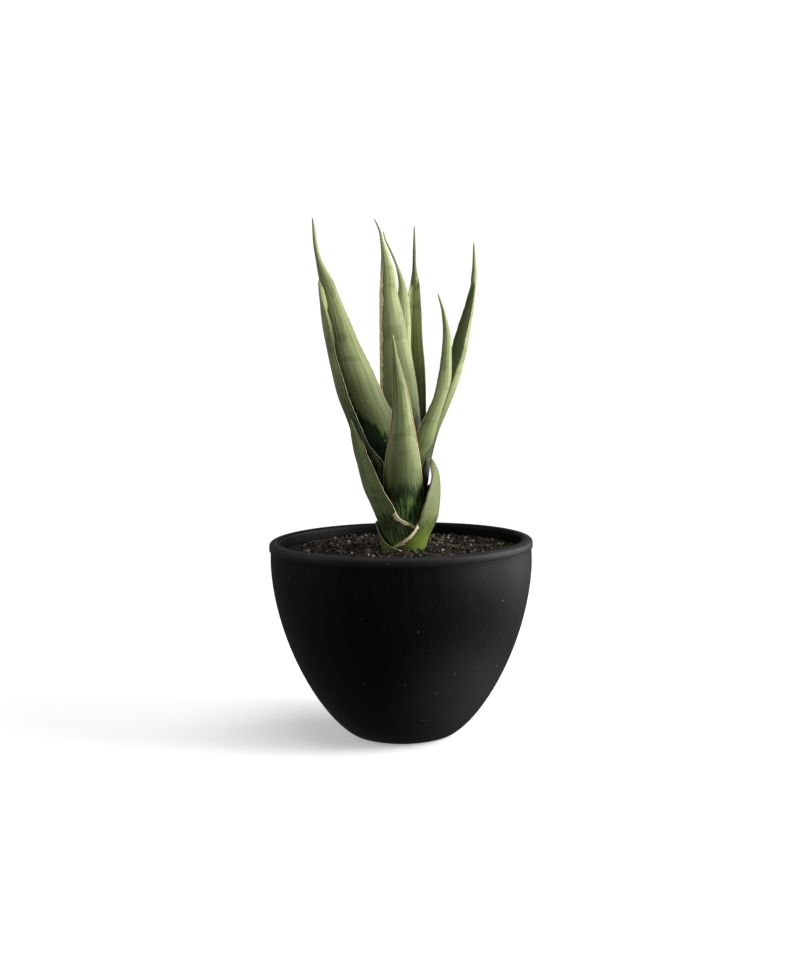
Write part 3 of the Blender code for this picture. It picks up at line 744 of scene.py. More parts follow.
def snake_leaves() -> list[Leaf]:
    """The eleven leaves, from the basal scale inwards.

    Returns:
        The leaves with their stations and finishes.
    """
    scale_edge = Margin(0.16, 0.18, 20.0, 24.0, colour=(0.36, 0.38, 0.18))
    right_edge = Margin(-0.12, 0.34, 38.0, 42.0, 6.5, 7.0, 1.5, (1.0, 0.94, 0.68), (0.055, 0.032, 0.012))
    left_edge = Margin(-0.08, 0.38, 50.0, 60.0, 14.0, 5.0, 1.6, (1.0, 0.94, 0.68), (0.05, 0.030, 0.012))
    front_edge = Margin(0.22, 0.58, 76.0, 90.0, 36.0, 16.0, 0.35, rust_colour=(0.10, 0.045, 0.016))
    # Grey edge whose near-black line is painted crevice shadow in the gap beside the leaf in front, in place
    # of a brown rusty line
    ashy_edge_painted_gap = Margin(0.26, 0.40, 72.0, 108.0, colour=(0.40, 0.42, 0.31), rust_colour=(0.010, 0.014, 0.006))
    tall_edge = Margin(0.24, 0.36, 88.0, 116.0)
    short_edge = Margin(0.22, 0.40, 82.0, 100.0)
    # Wide cream edge whose colour is lifted to a bright yellow as painted light shining through the thin edge
    broad_edge_lit = Margin(2.30, 0.50, 122.0, 132.0, colour=(0.95, 0.95, 0.55), rust_colour=(0.10, 0.055, 0.020))
    scale_skin = LeafFinish(Tone.MOSS, scale_edge, scale_edge,
                            Mottle(9.0, 16.0, 0.38, 0.28, 0.1, freshness=0.8, deep_and_shade_strength=0.0))
    right_sheath = LeafFinish(Tone.SHEATH, right_edge, right_edge,
                              Mottle(-6.0, 14.0, 0.38, 0.4, 0.06, strength=0.75, colour=(0.020, 0.050, 0.008),
                                     freshness=0.0, deep_and_shade_strength=0.0),
                              (0.150, 0.215, 0.032), 13.0, tip_length=2.0)
    left_sheath = LeafFinish(Tone.MOSS, left_edge, left_edge,
                             Mottle(8.0, 17.0, 0.42, 0.30, 0.12, strength=0.8, freshness=0.8, deep_and_shade_strength=0.0),
                             foot_height=3.0)
    front_skin = LeafFinish(Tone.SILVER, front_edge, front_edge,
                            Mottle(24.5, 29.0, 0.72, 0.34, 0.03, freshness=0.8),
                            tip_colour=(0.62, 0.60, 0.50), tip_length=3.0)
    outer_skin = LeafFinish(Tone.SAGE, BARE_EDGE, ashy_edge_painted_gap,
                            Mottle(30.0, 62.0, 0.30, 0.6, 0.06, freshness=0.2, deep_and_shade=(0.085, 0.110, 0.045)))
    # The tall left leaf's almost solid dark lower part is partly its own mottling and partly painted shadow
    # from the leaves in front
    left_skin_painted_shade = LeafFinish(Tone.SAGE, BARE_EDGE, tall_edge,
                           Mottle(50.0, 56.0, 0.96, 0.96, 0.03, 0.9, 0.97, reach=38.0))
    short_skin = LeafFinish(Tone.SILVER, short_edge, BARE_EDGE, Mottle(30.0, 44.0, 0.45, 0.5, freshness=0.2))
    right_skin = LeafFinish(Tone.SILVER, BARE_EDGE, BARE_EDGE, Mottle(34.0, 52.0, 0.5, 0.6, freshness=0.2))
    centre_skin = LeafFinish(Tone.PALE, broad_edge_lit, BARE_EDGE,
                             Mottle(30.0, 60.0, 0.6, 0.8, strength=0.7, deep_and_shade_strength=0.5, reach=15.0),
                             tip_colour=(0.34, 0.32, 0.26), tip_length=8.0)
    slim_skin = LeafFinish(Tone.PALE, BARE_EDGE, BARE_EDGE, Mottle(30.0, 60.0, 0.5))
    back_skin = LeafFinish(Tone.OLIVE_LIT_INSIDE, BARE_EDGE, BARE_EDGE,
                           Mottle(30.0, 60.0, 0.5, strength=0.6, deep_and_shade_strength=1.0,
                                  deep_and_shade=(0.050, 0.065, 0.015), reach=62.0))
    return [
        Leaf("leaf_basal_scale", "leaf_sheath", 24.0, 0.5, scale_skin, [
            (-1.6, -0.5, -0.9, 10.4, -258, -88),
            (0.5, -0.5, -0.9, 10.7, -256, -95),
            (2.5, -0.5, -0.7, 11.0, -255, -128),
            (5.0, -0.5, -0.5, 11.6, -240, -148),
            (8.0, -0.6, -0.4, 12.2, -222, -160),
            (11.0, -0.8, -0.4, 12.5, -204, -168),
            (13.0, -0.9, -0.4, 12.7, -190, -177)], bead=0.4),
        Leaf("leaf_clasp_right", "leaf_sheath", 41.5, 0.9, right_sheath, [
            (-1.8, 0.5, -0.6, 8.5, -151, 118),
            (0.0, 0.5, -0.6, 8.8, -151, 116),
            (3.7, 0.0, -0.7, 10.4, -106, 86),
            (7.2, -0.1, -0.6, 12.0, -80, 78),
            (13.4, 1.0, -0.6, 14.0, -68, 72),
            (20.2, 1.2, -0.6, 15.0, -60, 68),
            (26.9, 3.6, -1.0, 13.0, -56, 60),
            (33.9, 7.1, -1.6, 9.0, -50, 12),
            (38.5, 9.6, -2.6, 5.0, -46, 0),
            (41.4, 12.2, -3.8, 0.8, -55, 5)]),
        Leaf("leaf_clasp_left", "leaf_sheath", 64.0, 0.9, left_sheath, [
            (-1.4, 0.3, -0.4, 6.9, -275, -50),
            (2.5, -0.5, -0.4, 8.3, -270, -50),
            (8.1, -0.9, -0.4, 10.1, -262, -53),
            (11.5, -0.9, -0.4, 11.2, -248, -62),
            (15.3, -0.7, -0.4, 12.8, -232, -97),
            (21.5, -2.5, -0.5, 13.5, -215, -103),
            (27.5, -6.0, -1.0, 12.5, -205, -105),
            (34.2, -9.7, -1.8, 10.5, -200, -104),
            (39.7, -12.4, -2.5, 9.0, -196, -104),
            (44.5, -15.4, -3.4, 7.2, -196, -100),
            (50.4, -20.0, -5.3, 3.5, -190, -76),
            (54.4, -21.7, -6.5, 2.2, -184, -72),
            (60.3, -23.6, -8.4, 0.3, -184, -72)]),
        Leaf("leaf_front", "leaf_light", 91.0, 1.0, front_skin, [
            (-1.0, 0.2, -0.3, 5.6, -198, 22),
            (1.0, 0.2, -0.3, 6.1, -198, 22),
            (5.0, 0.0, -0.5, 7.6, -190, 14),
            (10.0, -0.3, -0.9, 9.0, -180, 4),
            (15.0, -0.4, -1.2, 9.6, -169, -6),
            (26.4, -0.6, -3.5, 9.6, -164, -12),
            (41.4, -0.7, -6.9, 8.6, -156, -20),
            (55.4, -0.5, -11.3, 6.5, -148, -28),
            (64.1, -0.7, -13.8, 5.2, -146, -30),
            (73.4, -1.3, -16.3, 3.9, -146, -30),
            (81.9, -2.3, -18.8, 2.4, -150, -26),
            (87.3, -3.0, -20.5, 1.4, -158, -18),
            (91.8, -3.5, -21.4, 0.8, -173, -3),
            (97.2, -4.0, -22.5, 0.25, -173, -3)]),
        Leaf("leaf_left_outer", "leaf_dark", 113.0, 1.0, outer_skin, [
            (3.0, -0.2, 0.0, 5.2, -235, -100),
            (5.0, -0.6, 0.1, 5.7, -234, -102),
            (15.0, -2.2, 0.8, 6.5, -210, -115),
            (28.0, -8.0, 2.8, 7.5, -212, -98),
            (34.0, -9.8, 2.0, 7.4, -225, -86),
            (40.3, -11.7, 0.6, 7.5, -235, -71),
            (44.5, -14.2, 0.0, 6.8, -240, -78),
            (49.2, -17.1, -1.9, 5.5, -243, -78),
            (58.2, -20.2, -2.8, 4.9, -240, -84),
            (69.9, -24.4, -3.1, 5.0, -243, -88),
            (78.9, -26.6, -3.6, 4.9, -243, -92),
            (89.3, -29.4, -4.3, 4.1, -243, -94),
            (99.6, -31.4, -5.2, 3.9, -238, -80),
            (106.5, -33.5, -6.7, 2.5, -235, -66),
            (111.9, -34.9, -8.0, 1.4, -247, -60),
            (117.4, -35.8, -8.4, 0.9, -257, -60),
            (121.8, -36.5, -8.6, 0.25, -257, -60)], bead=0.4),
        Leaf("leaf_left_tall", "leaf_light", 133.0, 1.0, left_skin_painted_shade, [
            (6.5, -0.6, 0.2, 4.4, -195, -70),
            (15.0, -1.8, 0.8, 5.1, -192, -60),
            (28.0, -4.8, 2.0, 6.0, -186, -45),
            (34.0, -6.0, 2.5, 7.0, -184, -42),
            (40.0, -7.2, 2.5, 8.0, -180, -38),
            (49.9, -10.6, 1.7, 9.9, -170, -27),
            (58.5, -12.2, 2.7, 10.9, -164, -31),
            (68.3, -16.0, 2.3, 10.4, -161, -38),
            (76.5, -18.7, 2.1, 10.3, -156, -42),
            (86.0, -22.0, 1.4, 9.6, -150, -45),
            (92.2, -24.3, 0.5, 8.6, -147, -45),
            (103.2, -27.9, -0.4, 7.3, -137, -45),
            (109.0, -29.6, -1.1, 6.2, -131, -45),
            (113.9, -31.0, -2.0, 5.4, -136, -45),
            (121.4, -32.9, -4.0, 3.9, -158, -42),
            (127.2, -35.1, -5.7, 2.3, -166, -34),
            (131.5, -36.5, -6.6, 1.4, -175, -25),
            (138.1, -37.7, -7.0, 1.0, -185, -15),
            (144.6, -38.2, -7.3, 0.7, -185, -15),
            (149.4, -38.7, -7.8, 0.25, -185, -15)]),
        Leaf("leaf_right_short", "leaf_light", 104.0, 1.0, short_skin, [
            (4.0, 0.5, -0.3, 5.1, -95, -22),
            (15.0, 1.8, -1.0, 5.6, -105, -30),
            (28.0, 2.4, -3.4, 4.5, -120, -20),
            (40.2, 4.3, -4.2, 5.0, -120, -10),
            (49.7, 7.5, -4.2, 6.3, -120, 4),
            (56.8, 10.2, -5.5, 5.3, -120, 6),
            (67.9, 15.1, -6.8, 4.1, -120, 8),
            (75.0, 17.2, -6.5, 4.3, -120, 10),
            (80.4, 18.2, -6.8, 3.9, -122, 10),
            (88.8, 19.2, -7.4, 3.0, -126, 10),
            (97.3, 19.6, -8.1, 2.2, -132, 12),
            (102.0, 19.3, -8.8, 1.4, -138, 18),
            (107.2, 18.5, -9.4, 0.8, -145, 25),
            (115.2, 16.2, -9.9, 0.25, -145, 25)]),
        Leaf("leaf_right_tall", "leaf_light", 123.0, 1.0, right_skin, [
            (6.5, 0.6, 0.4, 4.5, -12, 24),
            (15.0, 2.2, 1.5, 5.6, -20, 20),
            (28.8, 3.8, 2.0, 7.0, -58, 46),
            (39.8, 5.6, 2.5, 7.0, -62, 42),
            (52.9, 9.1, 2.5, 7.0, -58, 52),
            (62.8, 14.4, 1.5, 6.0, -55, 80),
            (74.7, 20.6, 0.0, 4.6, -72, 105),
            (86.7, 23.8, -0.8, 4.8, -55, 115),
            (93.5, 25.4, -1.6, 4.5, -50, 120),
            (100.7, 27.4, -1.8, 3.7, -47, 123),
            (107.5, 29.5, -1.9, 2.9, -43, 127),
            (114.5, 31.3, -2.0, 2.1, -43, 133),
            (120.2, 32.5, -2.0, 1.4, -43, 133),
            (126.4, 33.0, -1.7, 1.0, -40, 130),
            (138.0, 32.9, -1.2, 0.25, -40, 130)]),
        Leaf("leaf_centre_tall", "leaf_light", 138.0, 1.0, centre_skin, [
            (9.0, -0.1, 1.0, 2.1, -160, -20),
            (15.0, -0.3, 2.8, 3.2, -155, -18),
            (28.0, -0.5, 5.5, 5.0, -155, -15),
            (38.0, -0.9, 8.6, 7.8, -152, -18),
            (49.6, -1.4, 11.6, 10.4, -150, -20),
            (67.9, -1.9, 10.6, 9.8, -150, -20),
            (81.6, -2.8, 9.9, 9.2, -145, -25),
            (90.2, -3.8, 8.7, 7.9, -145, -25),
            (104.6, -4.7, 7.6, 6.6, -145, -25),
            (115.4, -5.8, 6.4, 4.9, -147, -23),
            (125.7, -6.1, 5.6, 3.6, -153, -17),
            (133.1, -7.0, 4.5, 2.0, -160, -10),
            (139.4, -8.2, 3.9, 0.9, -170, 0),
            (144.3, -9.2, 3.7, 0.6, -170, 0),
            (149.8, -11.7, 3.7, 0.25, -170, 0)]),
        Leaf("leaf_centre_slim", "leaf_light", 126.0, 1.0, slim_skin, [
            (10.0, -0.2, 3.2, 1.7, -150, -30),
            (15.0, -0.3, 5.0, 3.0, -145, -30),
            (28.0, -0.5, 8.5, 5.0, -140, -22),
            (38.0, -0.6, 10.9, 6.2, -136, -24),
            (49.2, -0.7, 12.9, 7.2, -132, -24),
            (67.5, -0.4, 14.1, 7.3, -130, -20),
            (81.5, -0.5, 14.1, 6.5, -130, -20),
            (90.2, -0.7, 13.7, 5.4, -130, -20),
            (104.7, 0.0, 13.5, 4.6, -130, -20),
            (114.5, 0.4, 12.7, 3.3, -133, -17),
            (120.4, 0.3, 11.8, 1.9, -140, -10),
            (127.3, -1.2, 11.2, 0.8, -155, 5),
            (132.3, -3.0, 11.3, 0.6, -160, 10),
            (136.9, -5.0, 11.5, 0.55, -160, 10),
            (140.5, -6.7, 11.4, 0.4, -160, 10),
            (144.8, -7.7, 11.2, 0.25, -160, 10)]),
        Leaf("leaf_back", "leaf_dark", 126.0, 1.0, back_skin, [
            (5.0, 0.2, 0.6, 5.2, 30, 120),
            (15.0, 0.3, 3.4, 5.0, 15, 145),
            (28.0, 1.2, 5.6, 5.5, 8, 150),
            (38.0, 2.2, 6.6, 6.5, 6, 148),
            (48.6, 3.0, 8.1, 7.3, 5, 146),
            (67.2, 4.1, 10.1, 6.9, 10, 146),
            (83.0, 4.8, 11.9, 6.0, 14, 146),
            (95.0, 5.3, 14.0, 4.6, 14, 146),
            (108.8, 5.8, 15.4, 3.7, 12, 148),
            (116.2, 6.0, 16.3, 3.1, 10, 150),
            (120.8, 6.4, 17.2, 2.4, 5, 155),
            (127.3, 6.4, 18.9, 1.1, -5, 165),
            (136.5, 6.5, 19.5, 0.7, -5, 165),
            (147.8, 6.7, 20.3, 0.25, -5, 165)]),
    ]


# ---------------------------------------------------------------- pot
@dataclass(frozen=True)
class PotFinish:
    """Matt black moulding with a drawn vertical grain.

    Its lip is worn and carries a painted sheen where it faces up, its foot is scuffed, one side has a painted
    reflection of bounced light, its inner wall has painted shade, and it has a small dimple and a little
    dust.
    The places of the painted reflection and the dimple are in millimetres.
    """

    black: Colour = (0.0009, 0.0012, 0.0015)
    grain: Colour = (0.0068, 0.0072, 0.0076)
    # Lighter grey for the foot's scuffs and for the lip, where it is partly real wear and partly painted
    # sheen
    worn_and_sheen: Colour = (0.030, 0.032, 0.033)
    # Painted reflection of light bounced up onto the bowl: its colour and where it lies
    reflection_colour: Colour = (0.034, 0.034, 0.033)
    reflection_at: Place = (30.0, -42.0, 20.0)
    dust: Colour = (0.20, 0.19, 0.17)
    dimple: Place = (-6.0, -58.4, 71.0)
    # Painted shade for the inner wall under the lip
    inner_painted_shade: Colour = (0.0004, 0.0005, 0.0006)

    @staticmethod
    def distance(place: tuple[Wire, Wire, Wire], spot: Place) -> Wire:
        """How far each point of the surface lies from a spot, in millimetres."""
        parts = [(axis - middle) * (axis - middle) for axis, middle in zip(place, spot)]
        return (parts[0] + parts[1] + parts[2]) ** 0.5

    def material(self, height: float) -> bpy.types.Material:
        """Builds the pot's material.

        Args:
            height: the pot's height in millimetres.

        Returns:
            The finished material.
        """
        bench = Bench("matt_black_pot", Specular_IOR_Level=0.11)
        x, y, z = bench.place()
        grain = bench.noise(bench.point(x * 1.35, y * 1.35, z * 0.020), 4.0, 0.6)
        hair = bench.noise(bench.point(x * 4.5, y * 4.5, z * 0.045), 2.0, 0.5)
        clouds = bench.noise(bench.point(x * 0.045, y * 0.045, z * 0.06), 4.0, 0.6)
        fine = bench.noise(bench.point(x * 6.0, y * 6.0, z * 6.0), 2.0, 0.6)
        scratch = bench.noise(bench.point(x * 0.09, y * 0.09, z * 3.2 + x * 0.12), 3.0, 0.7)

        colour = bench.mix((grain * 0.6 + hair * 0.4).smooth(0.44, 0.68) * (0.35 + clouds * 0.65),
                           self.black, self.grain)
        low = z.bell(16.0, 20.0) * clouds.smooth(0.45, 0.65)
        scuff = scratch.smooth(0.60, 0.72) * low
        # Painted reflection: a lighter, streaky patch low on one side stands in for light bounced up onto the
        # pot
        painted_reflection = (1.0 - self.distance((x, y, z), self.reflection_at).smooth(4.0, 48.0)) * (0.55 + clouds * 0.6)
        colour = bench.mix(painted_reflection * (0.20 + hair * 0.40 + scratch * 0.60), colour, self.reflection_colour)
        colour = bench.mix(scuff * 0.55, colour, self.worn_and_sheen)
        outside = self.distance((x, y, z * 0.0), (0.0, 0.0, 0.0)).smooth(56.4, 57.2)
        # Lip: partly real wear, partly painted sheen that lightens the upward-facing top of the lip as if lit
        # from above
        lip = z.smooth(height - 4.5, height - 4.1) * bench.upward().smooth(-0.9, 0.3) * outside
        worn_and_sheen = lip * (0.55 + (clouds + fine * 0.5).smooth(0.55, 1.0) * 0.45)
        colour = bench.mix(worn_and_sheen * 0.75, colour, self.worn_and_sheen)
        # Painted shade: the inner wall below the lip is darkened almost to black
        inside = (1.0 - outside) * z.smooth(height - 15.0, height - 13.0)
        colour = bench.mix(inside * 0.85, colour, self.inner_painted_shade)
        dust = bench.specks(bench.point(x * 0.11, y * 0.11, z * 0.11), 0.055)
        lint = bench.specks(bench.point(x * 0.24 + 5.0, y * 0.24, z * 0.24), 0.045)
        colour = bench.mix((dust + lint * 0.6) * 0.5, colour, self.dust)

        gloss = 0.50 + (grain - 0.5) * 0.30 + clouds * 0.06 - worn_and_sheen * 0.06 + scuff * 0.08
        away = self.distance((x, y, z), self.dimple)
        relief = grain * 0.9 + hair * 0.35 + fine * 0.10 - scuff * 0.3 - (1.0 - away.smooth(0.3, 1.4)) * 3.0
        return bench.finish(colour, gloss, relief, 0.07)


@dataclass
class Pot:
    """Turned bowl with a rolled lip. Sizes in millimetres."""

    foot_radius: float = 22.5
    foot_hollow: float = 0.9
    wall: float = 3.6
    floor: float = 4.5
    shoulder_drop: float = 10.0
    bowl_fullness: float = 1.75
    heel_fullness: float = 0.73
    lip_height: float = 4.2
    lip_proud: float = 0.5
    lip_width: float = 5.2
    steps: int = 176
    rings: int = 34
    crowding: float = 1.35
    finish: PotFinish = PotFinish()
    height: float = field(init=False)
    body_radius: float = field(init=False)

    def __post_init__(self) -> None:
        """Takes the height and the width from the frame."""
        low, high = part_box("pot")
        self.height = high.z / MM
        self.body_radius = (high.x - low.x) / 2 / MM - self.lip_proud

    @property
    def lip_inner(self) -> float:
        """Radius of the mouth."""
        return self.body_radius + self.lip_proud - self.lip_width

    def bowl_radius(self, height: float) -> float:
        """Outer radius of the bowl at a height."""
        rise = min(max(height / (self.height - self.shoulder_drop), 0.0), 1.0)
        spread = (1.0 - (1.0 - rise) ** self.bowl_fullness) ** self.heel_fullness
        return self.foot_radius + (self.body_radius - self.foot_radius) * spread

    def lip(self) -> Profile:
        """The rolled lip from the groove under it, over the top and down to the inner wall."""
        base, outer = self.height - self.lip_height, self.body_radius + self.lip_proud
        roll = [(outer - 2.4 + 2.4 * math.sin(turn), self.height - 1.7 + 1.7 * math.cos(turn))
                for turn in np.radians([90, 75, 60, 45, 30, 15, 0])]
        over = [(self.lip_inner + 1.2 - 1.2 * math.sin(turn), self.height - 1.6 + 1.5 * math.cos(turn))
                for turn in np.radians([0, 20, 40, 60, 80, 90])]
        return [(self.body_radius - 0.12, base), (self.body_radius - 0.10, base + 0.12),
                (outer - 0.15, base + 0.22), (outer, base + 0.45), *roll, *over,
                (self.lip_inner + 0.05, base - 0.4), (self.lip_inner + 0.15, base - 1.6)]

    def build(self) -> bpy.types.Object:
        """Turns the pot.

        Returns:
            The finished pot.
        """
        base = self.height - self.lip_height
        heights = [base * (ring / self.rings) ** self.crowding for ring in range(1, self.rings + 1)]
        profile = [(HUB, self.foot_hollow)]
        profile += [(self.foot_radius - inwards, height) for inwards, height in (
            (3.2, self.foot_hollow), (2.6, 0.75), (2.2, 0.15), (1.9, 0.0), (0.3, 0.0), (0.0, 0.12))]
        profile += [(self.bowl_radius(height), height) for height in heights if height > 0.4][:-1]
        profile += self.lip()
        profile += [(self.bowl_radius(height) - self.wall, height) for height in reversed(heights)
                    if self.floor < height < base - 4.0]
        inner = self.bowl_radius(self.floor) - self.wall
        profile += [(inner, self.floor + 0.4), (inner - 0.6, self.floor), (HUB, self.floor)]
        pot = turn_profile("pot_look", profile, self.steps, 40.0)
        adopt(pot, self.finish.material(self.height), "pot", "pot")
        return pot


# ---------------------------------------------------------------- potting mix
@dataclass(frozen=True)
class MixFinish:
    """Dark potting mix: peat, brown bark and pale grit."""

    stops: tuple[tuple[float, Colour], ...] = (
        (0.00, (0.003, 0.002, 0.002)), (0.36, (0.011, 0.009, 0.006)), (0.56, (0.042, 0.034, 0.023)),
        (0.72, (0.155, 0.127, 0.088)), (0.86, (0.340, 0.285, 0.205)), (0.96, (0.520, 0.450, 0.330)),
        (1.00, (0.660, 0.600, 0.480)))
    packed: tuple[tuple[float, Colour], ...] = (
        (0.3, (0.006, 0.004, 0.003)), (0.55, (0.020, 0.013, 0.009)), (0.75, (0.060, 0.038, 0.024)))
    fibre_light: Colour = (0.22, 0.175, 0.115)
    fibre_dark: Colour = (0.075, 0.052, 0.034)

    def grains(self) -> bpy.types.Material:
        """Loose crumbs, each with its own shade.

        Returns:
            The finished material.
        """
        bench = Bench("potting_crumbs", Specular_IOR_Level=0.25)
        x, y, z = bench.place()
        shade = bench.attribute("shade")
        rough = bench.noise(bench.point(x * 2.6, y * 2.6, z * 2.6), 4.0, 0.65)
        colour = bench.ramp(shade + (rough - 0.5) * 0.35, list(self.stops))
        return bench.finish(colour, 0.82 + rough * 0.15, rough, 0.45)

    def bed(self) -> bpy.types.Material:
        """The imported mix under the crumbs.

        Returns:
            The finished material.
        """
        bench = Bench("packed_mix", Specular_IOR_Level=0.2)
        x, y, z = bench.place()
        lumps = bench.noise(bench.point(x * 0.8, y * 0.8, z * 0.8), 5.0, 0.65)
        colour = bench.ramp(lumps, list(self.packed))
        return bench.finish(colour, 0.9 + lumps * 0.08, lumps, 0.8)

    def fibres(self) -> bpy.types.Material:
        """Coir and root hairs.

        Returns:
            The finished material.
        """
        bench = Bench("coir_fibre", Specular_IOR_Level=0.3)
        shade = bench.attribute("shade")
        x, y, z = bench.place()
        rough = bench.noise(bench.point(x * 1.2, y * 1.2, z * 1.2), 2.0, 0.5)
        colour = bench.mix(shade, self.fibre_dark, self.fibre_light)
        return bench.finish(colour, 0.7 + rough * 0.2, rough, 0.05)


@dataclass
class PottingMix:
    """Packed bed, loose crumbs and fibres inside the pot's mouth. Sizes in millimetres."""

    pot: Pot
    stem: list[Leaf]
    centre: Vector
    level: float
    crumbs: int = 5200
    crumb_kinds: int = 14
    crumb_size: float = 0.42
    largest_crumb: float = 1.5
    against_stem: float = 0.10
    fibres: int = 90
    fibre_sides: int = 4
    fibre_joints: int = 7
    fibre_clearance: float = 12.5
    seed: int = 41
    mound: float = 1.0
    gap: float = 0.35
    socket_radius: float = 12.3
    stem_height: float = 0.6
    bed_steps: int = 128
    finish: MixFinish = MixFinish()
    edge: float = field(init=False)

    def __post_init__(self) -> None:
        """Takes the bed's edge height from the frame."""
        self.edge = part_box("soil")[1].z / MM - self.mound

    def surface(self, x: float, y: float) -> float:
        """Height of the uneven surface at a place."""
        radius = math.hypot(x, y)
        waves = noise.noise(Vector((x * 0.09, y * 0.09, 3.0))) * 0.55
        lumps = waves + noise.noise(Vector((x * 0.3, y * 0.3, 8.0))) * 0.25
        return self.edge + self.mound * (1.0 - eased(radius / 40.0)) - 0.35 + lumps

    def stem_radius(self, bearing: float) -> float:
        """How far the sheaths reach from the plant's centre at soil level, in one direction.

        Args:
            bearing: the direction in radians.

        Returns:
            The distance in millimetres.
        """
        reach = 0.0
        for leaf in self.stem:
            x, y, radius, *bearings = (float(value) for value in leaf.read(np.array([self.stem_height]))[0])
            start, end = (math.radians(value) for value in bearings)
            along = x * math.cos(bearing) + y * math.sin(bearing)
            off = math.hypot(x, y) ** 2 - along ** 2
            if (bearing - start) % math.tau <= end - start:
                reach = max(reach, along + math.sqrt(max(radius ** 2 - off, 0.0)))
        return reach

    def build(self) -> None:
        """Makes the bed, the crumbs and the fibres."""
        self.build_bed()
        rng = np.random.default_rng(self.seed)
        self.build_crumbs(rng)
        self.build_fibres(rng)

    def build_bed(self) -> None:
        """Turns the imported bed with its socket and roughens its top."""
        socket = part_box("rhizome")[0].z / MM - self.gap
        wall = self.pot.lip_inner - self.gap
        inside = [(self.pot.bowl_radius(height) - self.pot.wall - self.gap, height)
                  for height in np.linspace(8.0, self.edge - 6.0, 10)]
        top = [(wall - (wall - 13.5) * ring / 26, self.edge) for ring in range(27)]
        profile = [(HUB, 6.0), *inside, (wall, self.edge - 1.5), *top, (12.5, self.edge - 1.2),
                   (self.socket_radius, self.edge - 5.0), (self.socket_radius, socket), (HUB, socket)]
        bed = turn_profile("potting_bed_look", profile, self.bed_steps, 50.0)
        mesh = bed.data
        for vertex in mesh.vertices:
            x, y, z = vertex.co / MM
            radius = math.hypot(x, y)
            shift = 1.0 - eased((radius - 12.0) / 30.0)
            if radius > 2.5 or z > 8.0:
                x, y = x + self.centre.x * shift, y + self.centre.y * shift
            if abs(z - self.edge) < 0.01:
                z = self.surface(x, y)
            vertex.co = Vector((x, y, z)) * MM
        mesh.update()
        adopt(bed, self.finish.bed(), "soil", "soil")

    def scatter(self, rng: np.random.Generator, count: int) -> list[tuple[float, float]]:
        """Random places on the bed, clear of the stem and thicker against it.

        Args:
            rng: the random source.
            count: how many places.

        Returns:
            (x, y) places in millimetres.
        """
        places, wall = [], self.pot.lip_inner - 0.9
        while len(places) < count:
            if rng.random() < self.against_stem:
                bearing = rng.uniform(0.0, math.tau)
                away = self.stem_radius(bearing) + 0.7 + abs(rng.normal(0.0, 1.4))
                x, y = self.centre.x + away * math.cos(bearing), self.centre.y + away * math.sin(bearing)
            else:
                radius, bearing = wall * math.sqrt(rng.random()), rng.uniform(0.0, math.tau)
                x, y = radius * math.cos(bearing), radius * math.sin(bearing)
            out_x, out_y = x - self.centre.x, y - self.centre.y
            bearing = math.atan2(out_y, out_x)
            if math.hypot(out_x, out_y) > self.stem_radius(bearing) + 0.55 and math.hypot(x, y) < wall:
                places.append((x, y))
        return places

    @staticmethod
    def crumb(rng: np.random.Generator) -> tuple[np.ndarray, np.ndarray]:
        """One lumpy crumb of about unit size, modelled from a ball of few faces.

        Args:
            rng: the random source.

        Returns:
            Its corners and its triangles.
        """
        deselect()
        bpy.ops.mesh.primitive_ico_sphere_add(subdivisions=1, radius=1.0)
        ball = bpy.context.object
        corners = np.array([corner.co for corner in ball.data.vertices])
        faces = np.array([list(face.vertices) for face in ball.data.polygons])
        mesh = ball.data
        bpy.data.objects.remove(ball)
        bpy.data.meshes.remove(mesh)
        return corners * rng.uniform(0.62, 1.12, (len(corners), 1)), faces

    def build_crumbs(self, rng: np.random.Generator) -> None:
        """Strews crumbs of many sizes over the bed as one piece."""
        kinds = [self.crumb(rng) for _ in range(self.crumb_kinds)]
        points, faces, shades, start = [], [], [], 0
        for x, y in self.scatter(rng, self.crumbs):
            corners, triangles = kinds[rng.integers(len(kinds))]
            size = min(self.crumb_size * float(np.exp(rng.normal(0.0, 0.42))), self.largest_crumb)
            stretch = np.array([size * rng.uniform(low, high)
                                for low, high in ((0.8, 1.5), (0.8, 1.2), (0.6, 1.0))])
            turn = np.array(Matrix.Rotation(rng.uniform(0, math.tau), 3, "Z")
                            @ Matrix.Rotation(rng.uniform(0, math.pi), 3, "X"))
            lift = self.surface(x, y) + size * rng.uniform(0.0, 0.75)
            points.append(((corners * stretch) @ turn.T + np.array([x, y, lift])) * MM)
            faces.append(triangles + start)
            shades.append(np.full(len(corners), rng.beta(1.5, 2.4)))
            start += len(corners)
        piece = self.strewn("potting_crumbs_look", np.concatenate(points).tolist(),
                            np.concatenate(faces).tolist(), np.concatenate(shades), 38.0)
        adopt(piece, self.finish.grains(), "soil")

